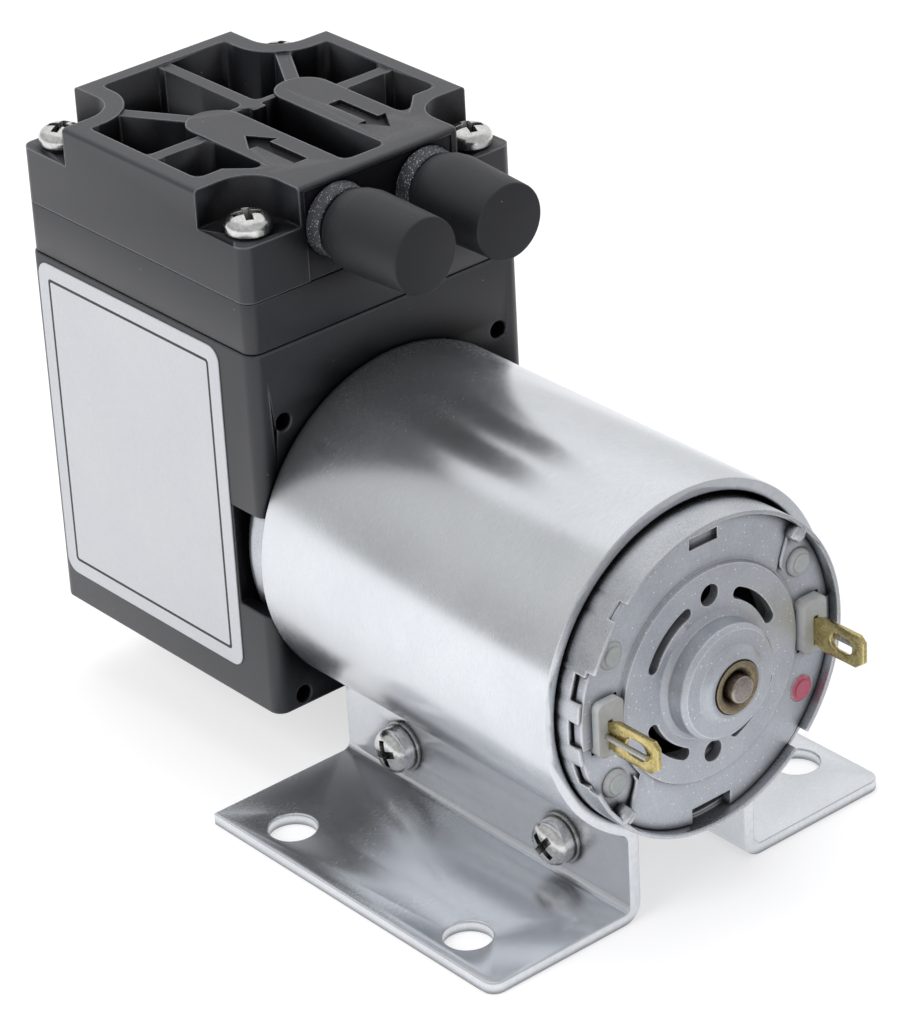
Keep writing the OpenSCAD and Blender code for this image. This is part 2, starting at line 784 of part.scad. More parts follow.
module armature_core() {
    color("gray") on_axis()
        translate([0, 0, stack_h0]) linear_extrude(height = stack_len) difference() {
            union() {
                circle(r = 3);
                for (pole = [0 : pole_count - 1]) rotate(pole * 360 / pole_count) {
                    translate([0, -tooth_w / 2]) square([rotor_r - shoe_t / 2, tooth_w]);
                    ring_sector(rotor_r, rotor_r - shoe_t, -29, 29);
                }
            }
            circle(d = shaft_d + 2 * press_gap);
        }
}

// One coil on each pole, standing out past both ends of the stack
module windings() {
    end_turn = 2;
    inner = 4.4;
    half = rotor_r / 3;
    outer = sqrt(pow(rotor_r - shoe_t, 2) - half * half) - fit_gap;
    color("chocolate") on_axis() for (pole = [0 : pole_count - 1])
        rotate(pole * 360 / pole_count) difference() {
            translate([0, 0, stack_h0 - end_turn])
                linear_extrude(height = stack_len + 2 * end_turn)
                    polygon([[inner, -2.5], [outer, -half], [outer, half], [inner, 2.5]]);
            translate([0, -tooth_w / 2 - press_gap, stack_h0 - press_gap])
                cube([rotor_r, tooth_w + 2 * press_gap, stack_len + 2 * press_gap]);
        }
}

module commutator_hub() {
    color("saddlebrown") on_axis() translate([0, 0, stack_h0 + stack_len])
        tube(comm_d - 1.6, shaft_d + 2 * press_gap, comm_h0 + comm_len - stack_h0 - stack_len);
}

module commutator() {
    color("orange") on_axis() translate([0, 0, comm_h0])
        linear_extrude(height = comm_len)
            for (bar = [0 : pole_count - 1]) rotate((bar + 0.5) * 360 / pole_count)
                ring_sector(comm_d / 2, comm_d / 2 - 0.8 + press_gap, -33, 33);
}

module motor_screws() {
    color("silver") on_axis() for (x = [-1, 1])
        translate([x * motor_screw_pcd / 2, 0, -can_seat - motor_wall - face_gap])
            rotate([180, 0, 0]) pan_screw(motor_screw_d, motor_wall + can_wall + 0.6);
}

/* Crankcase */

pocket_r = can_d / 2 + fit_gap;
window_half = sqrt(max(0, pow(pocket_r, 2) - pow(body_w / 2 - side_wall_min, 2)));
seat_depth = can_seat + face_gap;
cavity_y0 = seat_depth + motor_wall;
cavity_y1 = body_d - case_wall;
cavity_half = body_w / 2 - case_wall;
lid_t = 1.2;
lid_half = 10.6;
lid_low = -case_below + case_wall + 0.4;
lid_high = 12.6;

module at_cover_screws() {
    for (x = [-1, 1], y = [cover_screw_y, body_d - cover_screw_y])
        translate([x * cover_screw_x, y, 0]) children();
}

// Cylinder along Y in the pump head, from y0 to y1
module bore_y(diameter, y0, y1) {
    translate([0, y1, 0]) rotate([90, 0, 0]) cylinder(d = diameter, h = y1 - y0);
}

// Outline of the pump head seen from above, drawn in by inset
module head_outline(inset) {
    round_rect([-body_w / 2 + inset, inset], [body_w / 2 - inset, body_d - inset],
        corner_r - inset / 2);
}

// Outline in the XZ plane pushed back along Y, from y0 to y1
module slab_y(y0, y1) {
    translate([0, y1, 0]) rotate([90, 0, 0]) linear_extrude(height = y1 - y0) children();
}

module crankcase() {
    color([0.2, 0.2, 0.21]) in_head() difference() {
        translate([0, 0, -case_below])
            linear_extrude(height = case_below + case_above) head_outline(0);
        // Seat of the motor can, with a window where the side wall would be too thin
        bore_y(2 * pocket_r, -1, seat_depth);
        for (side = [-1, 1]) translate([side > 0 ? 10 : -20, -1, -window_half])
            cube([10, 1 + seat_depth, 2 * window_half]);
        bore_y(boss_d + 2 * fit_gap, 0, cavity_y0 + 1);
        for (x = [-1, 1]) translate([x * motor_screw_pcd / 2, 0, 0])
            bore_y(motor_screw_d + hole_gap, 0, cavity_y0 + 1);
        // Crank space, open to the diaphragm above and to the lid behind
        slab_y(cavity_y0, cavity_y1)
            round_rect([-cavity_half, -case_below + case_wall], [cavity_half, 13], 2);
        translate([0, rod_y, 12]) cylinder(d = chamber_d, h = case_above);
        translate([0, rod_y, case_above - diaphragm_t])
            cylinder(d = diaphragm_d + 2 * fit_gap, h = diaphragm_t + 1);
        slab_y(cavity_y1 - 1, body_d + 1)
            round_rect([-lid_half + 1, lid_low + 1], [lid_half - 1, lid_high - 1], 1.5);
        slab_y(body_d - lid_t, body_d + 1)
            round_rect([-lid_half, lid_low], [lid_half, lid_high], 2);
        at_cover_screws() translate([0, 0, ledge_top - cover_screw_len - 0.4])
            cylinder(d = cover_screw_d + 2 * press_gap, h = cover_screw_len);
        for (x = [-1, 1], z = [-1, 1]) translate([x * pilot_x, 0, z * pilot_z])
            bore_y(pilot_d, -1, 5);
    }
}

// Press-in lid that closes the crank space after assembly
module rear_cover() {
    color([0.16, 0.16, 0.17]) in_head() difference() {
        union() {
            slab_y(body_d - lid_t, body_d)
                round_rect([-lid_half + fit_gap, lid_low + fit_gap],
                    [lid_half - fit_gap, lid_high - fit_gap], 2 - fit_gap);
            slab_y(cavity_y1, body_d - lid_t + eps)
                round_rect([-lid_half + 1 + fit_gap, lid_low + 1 + fit_gap],
                    [lid_half - 1 - fit_gap, lid_high - 1 - fit_gap], 1.5 - fit_gap);
        }
        slab_y(cavity_y1 - 1, body_d - lid_t)
            round_rect([-lid_half + 2.2, lid_low + 2.2], [lid_half - 2.2, lid_high - 2.2], 1);
    }
}

/* Crank */

module crank_hub() {
    color("burlywood") in_head() difference() {
        union() {
            bore_y(hub_d, hub_y0, hub_y1);
            slab_y(weight_y0, weight_y0 + weight_len) ring_sector(weight_r, 1, 15, 165);
            translate([0, 0, pin_z]) {
                bore_y(pin_d + 1.4, hub_y1 - eps, bearing_y0);
                bore_y(pin_d, hub_y1 - eps, bearing_y1 + 0.3);
            }
        }
        bore_y(shaft_d + 2 * press_gap, hub_y0 - 1, hub_y1 - 0.4 + press_gap);
        translate([0, hub_y1 - 1.9, 0]) rotate([0, 90, 0])
            cylinder(d = 2 + 2 * press_gap, h = hub_d);
    }
}

module hub_set_screw() {
    color("dimgray") in_head() translate([shaft_d / 2 + press_gap, hub_y1 - 1.9, 0])
        rotate([0, 90, 0]) difference() {
            cylinder(d = 2, h = hub_d / 2 - shaft_d / 2 - 0.6);
            translate([0, 0, hub_d / 2 - shaft_d / 2 - 1.6])
                cylinder(d = 1, h = 2, $fn = 6);
        }
}

module in_bearing() {
    in_head() translate([0, bearing_y1, pin_z]) rotate([90, 0, 0]) children();
}

module raceway() {
    translate([0, 0, bearing_w / 2]) rotate_extrude()
        translate([ball_r, 0]) circle(d = ball_d + 0.1, $fn = 32);
}

module bearing_inner_ring() {
    color("silver") in_bearing() difference() {
        tube(pin_d + 2 * race_t, pin_d + 2 * press_gap, bearing_w);
        raceway();
    }
}

module bearing_outer_ring() {
    color("silver") in_bearing() difference() {
        tube(bearing_d, bearing_d - 2 * race_t, bearing_w);
        raceway();
    }
}

module bearing_balls() {
    color("white") in_bearing() for (ball = [0 : ball_count - 1])
        rotate(ball * 360 / ball_count) translate([ball_r, 0, bearing_w / 2])
            sphere(d = ball_d, $fn = 32);
}

module connecting_rod() {
    eye = bearing_d + 2 * rod_wall;
    color("ivory") in_head() difference() {
        union() {
            translate([0, 0, pin_z]) bore_y(eye, bearing_y0 - rod_side, bearing_y1 + rod_side);
            slab_y(bearing_y0 - rod_side, bearing_y1 + rod_side)
                polygon([[-shank_w / 2 - 1.2, pin_z + 5], [-shank_w / 2, pin_z + 9],
                    [-shank_w / 2, rod_head_bottom - 1], [-shank_w / 2 - 1, rod_head_bottom + eps],
                    [shank_w / 2 + 1, rod_head_bottom + eps], [shank_w / 2, rod_head_bottom - 1],
                    [shank_w / 2, pin_z + 9], [shank_w / 2 + 1.2, pin_z + 5]]);
            translate([0, rod_y, rod_head_bottom]) cylinder(d = clamp_d, h = rod_head_t);
        }
        translate([0, 0, pin_z])
            bore_y(bearing_d + 2 * press_gap, bearing_y0 - 1, bearing_y1 + 1);
        translate([0, rod_y, membrane_bottom - 6])
            cylinder(d = disc_screw_d + 2 * press_gap, h = 7);
    }
}

// Half section of the moulded diaphragm: a flat middle, a rolled web and a flat clamped rim
module diaphragm_section() {
    flat = clamp_d / 2 + 0.3;
    rim = chamber_d / 2 - 0.2;
    rise = case_above - membrane_top;
    steps = 10;
    function web(t) = rise * (1 - cos(180 * t)) / 2;
    polygon(concat(
        [[1.3, membrane_bottom]],
        [for (i = [0 : steps]) [flat + (rim - flat) * i / steps,
            membrane_bottom + web(i / steps)]],
        [[diaphragm_d / 2, case_above - diaphragm_t], [diaphragm_d / 2, case_above]],
        [for (i = [steps : -1 : 0]) [flat + (rim - flat) * i / steps,
            membrane_top + web(i / steps)]],
        [[1.3, membrane_top]]));
}

module diaphragm() {
    color([0.13, 0.13, 0.13]) in_head() translate([0, rod_y, 0])
        rotate_extrude() diaphragm_section();
}

disc_screw_d = 2;
disc_screw_len = 7;
disc_head_d = 3.7;
disc_sink = 0.8;

module clamp_disc() {
    color("silver") in_head() translate([0, rod_y, membrane_top]) difference() {
        union() {
            cylinder(d = clamp_d, h = clamp_t - 0.3);
            translate([0, 0, clamp_t - 0.3]) cylinder(d1 = clamp_d, d2 = clamp_d - 0.6, h = 0.3);
        }
        translate([0, 0, -1]) cylinder(d = disc_screw_d + hole_gap, h = 3);
        translate([0, 0, clamp_t - disc_sink])
            cylinder(d1 = disc_screw_d + hole_gap, d2 = disc_head_d + hole_gap,
                h = disc_sink + eps);
    }
}

// Countersunk screw through the clamp disc and the diaphragm into the rod
module clamp_disc_screw() {
    recess = disc_head_d * 0.6;
    color("silver") in_head() translate([0, rod_y, clamp_top]) difference() {
        union() {
            translate([0, 0, -disc_sink])
                cylinder(d1 = disc_screw_d + 2 * press_gap, d2 = disc_head_d, h = disc_sink);
            translate([0, 0, -disc_screw_len])
                cylinder(d = disc_screw_d, h = disc_screw_len - disc_sink + eps);
        }
        for (turn = [0, 90]) rotate(turn)
            translate([-recess / 2, -0.2, -0.5]) cube([recess, 0.4, 1]);
    }
}

/* Valve plate */

module port_places() {
    for (side = [-1, 1]) translate([side * port_x, valve_y, 0]) children();
}

// Stem hole and four flow holes of an umbrella valve
module valve_holes() {
    cylinder(d = stem_d + 2 * press_gap, h = valve_plate_t + 2);
    for (turn = [45 : 90 : 315]) rotate(turn) translate([1.75, 0, 0])
        cylinder(d = 1.1, h = valve_plate_t + 2, $fn = 24);
}

module valve_plate() {
    color([0.18, 0.18, 0.19]) in_head() difference() {
        translate([0, 0, plate_bottom])
            linear_extrude(height = valve_plate_t) head_outline(layer_step);
        translate([0, rod_y, plate_bottom - 1]) cylinder(d = chamber_d, h = 1 + chamber_h);
        port_places() translate([0, 0, plate_bottom + 1]) valve_holes();
        // The inlet valve's head hangs in the chamber, the outlet valve's lies on top
        translate([-port_x, valve_y, chamber_top - eps])
            cylinder(r = well_r, h = valve_recess + eps);
        translate([port_x, valve_y, plate_top - valve_recess])
            cylinder(r = well_r, h = valve_recess + 1);
        port_places() translate([0, 0, plate_top - seal_d])
            tube(2 * seal_r + seal_d + 0.1, 2 * seal_r - seal_d - 0.1, 1);
        at_cover_screws() translate([0, 0, plate_bottom - 1])
            cylinder(d = cover_screw_d + hole_gap, h = valve_plate_t + 2);
    }
}

// Umbrella valve with its head down from Z = 0 and its stem up through a web
module umbrella_valve(web) {
    rotate_extrude() polygon([[0, -0.75], [valve_d * 0.25, -0.7], [valve_d / 2 - 0.1, -0.3],
        [valve_d / 2, 0], [valve_d / 2 - 0.3, 0], [stem_d / 2, -0.12], [stem_d / 2, web],
        [stem_d / 2 + 0.25, web], [stem_d / 2, web + 0.4], [0.35, web + 0.5],
        [0, web + 0.5]]);
}

module inlet_valve() {
    color("tan") in_head()
        translate([-port_x, valve_y, chamber_top + valve_recess])
            umbrella_valve(valve_plate_t - chamber_h - valve_recess);
}

module outlet_valve() {
    color("tan") in_head()
        translate([port_x, valve_y, plate_top - valve_recess]) mirror([0, 0, 1])
            umbrella_valve(valve_plate_t - chamber_h - valve_recess);
}

// Two O-rings between the valve plate and the cover
module port_seals() {
    color([0.1, 0.1, 0.1]) in_head() port_places()
        translate([0, 0, plate_top - seal_d / 2]) rotate_extrude()
            translate([seal_r, 0]) circle(d = seal_d, $fn = 24);
}

/* Cover */

pocket_bottom = plate_top + well_h + pocket_floor;
channel_end = valve_y;
side_rib_y = valve_y - 1.5;
corner_cut = 2.9;
// How far the plate and the cover stop short of the crankcase's outline
layer_step = 0.12;

// Corner steps for the screw heads, seen from above, grown by grow
module notch_shapes(grow) {
    for (x = [0, 1], y = [0, 1]) {
        inner_x = body_w / 2 - notch_x - grow;
        inner_y = (y == 0 ? notch_y : notch_back) + grow;
        translate([0, y * body_d]) mirror([0, y]) mirror([x, 0])
            round_rect([inner_x, -4], [body_w / 2 + 4, inner_y], notch_r + grow);
    }
}

// Raised channels over the two ducts, with round back ends over the valves
module channel_shapes() {
    for (x = [-1, 1]) translate([x * port_x, 0]) {
        translate([-channel_w / 2, 0]) square([channel_w, channel_end]);
        translate([0, channel_end]) circle(d = channel_w);
    }
}

// A straight rib between two points
module rib(from, to) {
    run = to - from;
    translate(from) rotate(atan2(run[1], run[0]))
        translate([0, -rib_t / 2]) square([norm(run), rib_t]);
}

module rib_shapes() {
    back = body_d - rim_t + eps;
    side = body_w / 2 - rim_t + eps;
    rib([0, valve_y], [0, back]);
    for (x = [-1, 1]) {
        rib([x * port_x, side_rib_y], [x * side, side_rib_y]);
        rib([x * (port_x - 0.7), valve_y],
            [x * (body_w / 2 - notch_x + 0.6), body_d - notch_back - 0.2]);
    }
    // Web between the slot and the back pockets
    translate([-port_x, channel_end + 0.8]) square([2 * port_x, 0.6]);
}

// The sunk area inside the cover's outer wall, round the channels. Beside the front steps
// its corners are cut straight across.
module sunk_area() {
    duct_side = port_x + channel_w / 2;
    front = notch_y + notch_wall;
    difference() {
        round_rect([-body_w / 2 + rim_t, rim_t], [body_w / 2 - rim_t, body_d - rim_t], 0.8);
        difference() {
            notch_shapes(notch_wall);
            translate([-body_w, 0]) square([2 * body_w, front + 1]);
        }
        for (side = [0, 1]) mirror([side, 0])
            polygon([[duct_side - 1, 0], [duct_side - 1, front - corner_cut - 1],
                [duct_side + corner_cut, front], [body_w, front], [body_w, 0]]);
        channel_shapes();
    }
}

module pocket_shapes() {
    difference() {
        sunk_area();
        rib_shapes();
    }
}

// Flow arrow with its tail at the origin, pointing along Y
module arrow_shape() {
    shaft = arrow_w * 0.22;
    neck = arrow_len - arrow_w * 0.8;
    polygon([[-shaft, 0], [shaft, 0], [shaft, neck], [arrow_w / 2, neck], [0, arrow_len],
        [-arrow_w / 2, neck], [-shaft, neck]]);
}

module port(side) {
    translate([side * port_x, 0, port_z]) rotate([90, 0, 0]) {
        translate([0, 0, -rim_t / 2]) cylinder(d = collar_d, h = collar_len + rim_t / 2);
        rotate_extrude() polygon([[0, 0], [port_d / 2 - 0.2, 0], [port_d / 2 - 0.2, port_len - 2.4],
            [port_d / 2, port_len - 2.2], [port_d / 2 - 0.5, port_len], [0, port_len]]);
    }
}

// What rounds a straight top edge: the edge runs along X and the cover lies towards Y
module edge_cut(length) {
    rotate([90, 0, 90]) linear_extrude(height = length) difference() {
        translate([-1, -top_edge]) square([1 + top_edge, 1 + top_edge]);
        translate([top_edge, -top_edge]) circle(r = top_edge);
    }
}

// The cover's block with its corner steps, rounded top edges and the lip in front
module cover_block() {
    insert_half = body_w / 2 - notch_x - 0.55;
    difference() {
        translate([0, 0, plate_top])
            linear_extrude(height = cover_h) head_outline(layer_step);
        translate([0, 0, ledge_top]) linear_extrude(height = cover_h) notch_shapes(0);
        for (side = [0, 1]) {
            translate([0, side * body_d, cover_top]) mirror([0, side, 0])
                translate([-body_w, layer_step, 0]) edge_cut(2 * body_w);
            translate([0, 0, cover_top]) mirror([side, 0, 0])
                translate([-body_w / 2 + layer_step, 2 * body_d, 0])
                    rotate(-90) edge_cut(3 * body_d);
        }
        translate([-insert_half, -1, plate_top - 1])
            cube([2 * insert_half, 1 + layer_step + lip_step, cover_h + 1 - lip_h]);
    }
}

module top_cover() {
    color([0.22, 0.22, 0.23]) in_head() difference() {
        union() {
            cover_block();
            at_cover_screws() translate([0, 0, ledge_top - eps])
                cylinder(d = head_d - 0.3, h = seat_h + eps);
            for (side = [-1, 1]) port(side);
        }
        translate([0, 0, cover_top - rib_drop]) linear_extrude(height = 1) sunk_area();
        translate([0, 0, pocket_bottom]) linear_extrude(height = cover_h) pocket_shapes();
        port_places() translate([0, 0, plate_top - 1]) cylinder(r = well_r, h = 1 + well_h);
        port_places() translate([0, 0, plate_top]) cylinder(d = port_bore, h = port_z - plate_top);
        for (side = [-1, 1]) translate([side * port_x, 0, port_z])
            bore_y(port_bore, -port_len - 1, valve_y);
        at_cover_screws() translate([0, 0, plate_top - 1])
            cylinder(d = cover_screw_d + hole_gap, h = ledge_t + 3);
        translate([0, 0, cover_top - arrow_depth]) linear_extrude(height = 1) {
            translate([-port_x, arrow_y]) arrow_shape();
            translate([port_x, arrow_y + arrow_len]) rotate(180) arrow_shape();
        }
    }
}

module cover_screws() {
    color("silver") in_head() at_cover_screws() translate([0, 0, ledge_top + seat_h])
        pan_screw(cover_screw_d, cover_screw_len);
}

/* Transit caps and label */

module port_cap(side) {
    tip = port_len + fit_gap + cap_end_t;
    start = collar_len + 1.5 * fit_gap;
    color([0.1, 0.1, 0.1]) in_head() translate([side * port_x, 0, port_z])
        rotate([90, 0, 0]) difference() {
            translate([0, 0, start]) rotate([0, -side * cap_lean, 0]) translate([0, 0, -start])
                rotate_extrude() polygon([[0, start], [cap_mouth_d / 2 - 0.15, start],
                    [cap_mouth_d / 2, start + 0.15], [cap_d / 2 - 0.15, start + 1.2],
                    [cap_d / 2, start + 2.3], [cap_tip_d / 2, tip - 0.1],
                    [cap_tip_d / 2 - 0.1, tip], [0, tip]]);
            translate([0, 0, start - 1])
                cylinder(d = port_d + 2 * fit_gap, h = port_len + fit_gap - start + 1);
        }
}

module inlet_cap() {
    port_cap(-1);
}

module outlet_cap() {
    port_cap(1);
}

// Bare label on the left side, from the window back to the rounded corner
module rating_label() {
    top = case_above - 0.6;
    color("white") in_head() translate([-body_w / 2 - label_t, 0, 0])
        rotate([90, 0, 90]) linear_extrude(height = label_t)
            round_rect([seat_depth + 0.1, top - label_h], [body_d - corner_r, top], 1.3);
}

clamp_bracket();
clamp_screws();
clamp_spring_washers();
clamp_flat_washers();
clamp_nuts();
motor_can();
end_bell();
brush_holder();
left_terminal();
right_terminal();
suppressor_leads();
brush_arms();
carbon_brushes();
magnets();
magnet_springs();
rear_bush();
front_bush();
motor_shaft();
armature_core();
windings();
commutator();
commutator_hub();
motor_screws();
crankcase();
rear_cover();
crank_hub();
hub_set_screw();
bearing_inner_ring();
bearing_outer_ring();
bearing_balls();
connecting_rod();
diaphragm();
clamp_disc();
clamp_disc_screw();
valve_plate();
inlet_valve();
outlet_valve();
port_seals();
top_cover();
cover_screws();
inlet_cap();
outlet_cap();
rating_label();
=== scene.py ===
"""Looks of a small diaphragm vacuum pump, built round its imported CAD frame.

Lengths are metres, and MM turns a size in millimetres into them. X points right, Y back towards
the pump head and Z up. The origin is the middle of the four foot holes, on the feet's underside.
"""

import json
import math

import bmesh
import bpy
from mathutils import Matrix, Quaternion, Vector


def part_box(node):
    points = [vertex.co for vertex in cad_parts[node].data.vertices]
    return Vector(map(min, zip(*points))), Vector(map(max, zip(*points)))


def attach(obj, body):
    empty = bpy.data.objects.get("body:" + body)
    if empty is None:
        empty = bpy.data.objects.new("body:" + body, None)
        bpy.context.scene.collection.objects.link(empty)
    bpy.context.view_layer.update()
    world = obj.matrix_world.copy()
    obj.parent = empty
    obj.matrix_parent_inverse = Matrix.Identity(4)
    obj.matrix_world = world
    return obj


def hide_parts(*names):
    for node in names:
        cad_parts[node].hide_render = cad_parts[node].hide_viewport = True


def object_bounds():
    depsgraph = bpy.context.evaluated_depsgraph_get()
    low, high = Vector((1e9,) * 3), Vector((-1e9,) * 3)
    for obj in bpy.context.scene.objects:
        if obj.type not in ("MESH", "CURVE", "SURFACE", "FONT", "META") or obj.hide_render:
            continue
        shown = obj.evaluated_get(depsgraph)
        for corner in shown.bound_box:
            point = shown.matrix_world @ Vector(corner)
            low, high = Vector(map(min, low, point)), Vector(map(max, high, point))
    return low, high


MM = 0.001

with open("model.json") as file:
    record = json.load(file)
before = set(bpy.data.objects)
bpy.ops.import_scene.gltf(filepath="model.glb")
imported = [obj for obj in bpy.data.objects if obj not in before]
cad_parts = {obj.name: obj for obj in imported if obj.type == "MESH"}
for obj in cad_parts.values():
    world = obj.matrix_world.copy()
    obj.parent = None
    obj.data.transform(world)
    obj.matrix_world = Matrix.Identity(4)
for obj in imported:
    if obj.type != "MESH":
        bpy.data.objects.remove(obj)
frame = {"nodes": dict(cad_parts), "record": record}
cad_low, cad_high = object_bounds()
nodes = frame["nodes"]

# Places read from the frame
CAN_LOW, CAN_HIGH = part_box("motor_can")
CASE_LOW, CASE_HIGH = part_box("crankcase")
BELL_LOW, BELL_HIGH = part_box("end_bell")
COVER_LOW, COVER_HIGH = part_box("top_cover")
# Height of the motor's axis
AXIS_H = (CAN_LOW.z + CAN_HIGH.z) / 2
# Front face of the pump head
FACE_Y = CASE_LOW.y
# Face of the end plate, set in a little from the can's rim
PLATE_Y = CAN_LOW.y + 0.9 * MM


def on_plate(across, up, out):
    """A point by its millimetres from the motor's axis, and out from the end plate's face."""
    return Vector((across * MM, PLATE_Y - out * MM, AXIS_H + up * MM))


# The brush holder's stakes, in millimetres to each side of the motor's axis and above and below
STAKE_ACROSS = 10.1
STAKE_UP = 5.8
# A dab of red paint on the lower stake on the right: its middle and its radius
DAB_MIDDLE = on_plate(STAKE_ACROSS, -STAKE_UP, 0.1)
DAB_RADIUS = 1.3 * MM


# Nodes and colours


def colour(code):
    """The linear colour of an sRGB hex value."""
    parts = [int(code[i : i + 2], 16) / 255 for i in (1, 3, 5)]
    linear = [c / 12.92 if c <= 0.04045 else ((c + 0.055) / 1.055) ** 2.4 for c in parts]
    return (*linear, 1.0)


def feed(node, inputs):
    """Feeds a node's inputs, given by name or in their order, with values, sockets or nodes.

    A node feeds an input from the first output that its settings leave it.
    """
    pairs = inputs.items() if isinstance(inputs, dict) else enumerate(inputs)
    for key, value in pairs:
        if isinstance(value, bpy.types.Node):
            value = next(socket for socket in value.outputs if socket.enabled)
        if isinstance(value, bpy.types.NodeSocket):
            node.id_data.links.new(value, node.inputs[key])
        else:
            node.inputs[key].default_value = value


def add(tree, kind, inputs=(), **settings):
    """A new node of that kind, with its settings and links."""
    node = tree.nodes.new(kind)
    for name, value in settings.items():
        setattr(node, name, value)
    feed(node, inputs)
    return node


# A Map Range node takes a value, the span that it comes from and the span that it goes to.
# With this setting it starts and ends softly.
SOFT = {"interpolation_type": "SMOOTHSTEP"}
# The sum of two noises lies in this span nearly everywhere
NOISE_SPAN = (0.7, 1.3)
# A direction close to the motor's axis. It is a little off, so that no face looks along it.
NEAR_AXIS = (0.05, 1.0, 0.03)
# How far light gets into milky plastics
LIGHT_REACH = 0.6 * MM


def new_material(name):
    """An empty material, its tree and its shader."""
    made = bpy.data.materials.new(name)
    made.use_nodes = True
    return made, made.node_tree, made.node_tree.nodes["Principled BSDF"]


def flecked(tree, place, base, specks):
    """The base with scattered points: their colour, and their size and spacing in mm."""
    paint, size, spacing = specks
    reach = size / spacing
    cells = add(tree, "ShaderNodeTexVoronoi", {"Vector": place, "Scale": 1 / (spacing * MM)})
    point = add(tree, "ShaderNodeMapRange", (cells, 0.5 * reach, reach, 1.0, 0.0))
    inputs = {"Factor": point, "A": base, "B": colour(paint)}
    return add(tree, "ShaderNodeMix", inputs, data_type="RGBA")


def dabbed(tree, place, grain, base, dab):
    """The base with one dab of paint: its colour, middle and radius. The grain frays its edge."""
    paint, middle, radius = dab
    # The paint covers nine tenths of what is under it, and thins out at its edge
    off = add(tree, "ShaderNodeVectorMath", (place, middle), operation="DISTANCE")
    frayed = add(tree, "ShaderNodeMath", (grain, 0.45 * radius, off), operation="MULTIPLY_ADD")
    cover = add(tree, "ShaderNodeMapRange", (frayed, radius, 1.2 * radius, 0.9, 0.0), **SOFT)
    inputs = {"Factor": cover, "A": base, "B": colour(paint)}
    return add(tree, "ShaderNodeMix", inputs, data_type="RGBA")


def highlight_edges(tree, rolled, base, edge_highlight):
    """The base with its edges painted a lighter colour as a highlight, by a share."""
    highlight_colour, share = edge_highlight
    # The true normal and the rolled one have a product of 1 on a flat, and less at an edge, where
    # the highlight is painted
    flat = add(tree, "ShaderNodeNewGeometry").outputs["Normal"]
    turn = add(tree, "ShaderNodeVectorMath", (flat, rolled), operation="DOT_PRODUCT")
    near = add(tree, "ShaderNodeMapRange", (turn, 0.93, 0.998, share, 0.0), **SOFT)
    inputs = {"Factor": near, "A": base, "B": colour(highlight_colour)}
    return add(tree, "ShaderNodeMix", inputs, data_type="RGBA")


def shade_hollows(tree, shader, base, hollow):
    """The base with shade painted in its recesses: the shade's colour, their depth in mm and a
    share.
    """
    shade_colour, depth, share = hollow
    # The sky is 1 in the open and falls in a recess, where shade is painted and the usual gloss of
    # 0.5 goes as well
    sky = add(tree, "ShaderNodeAmbientOcclusion", {"Distance": depth * MM}, samples=6)
    deep = add(tree, "ShaderNodeMapRange", (sky.outputs["AO"], 0.5, 0.96, share, 0.0), **SOFT)
    glint = add(tree, "ShaderNodeMapRange", (deep, 0.0, 1.0, 0.5, 0.04), **SOFT)
    feed(shader, {"Specular IOR Level": glint})
    inputs = {"Factor": deep, "A": base, "B": colour(shade_colour)}
    return add(tree, "ShaderNodeMix", inputs, data_type="RGBA")


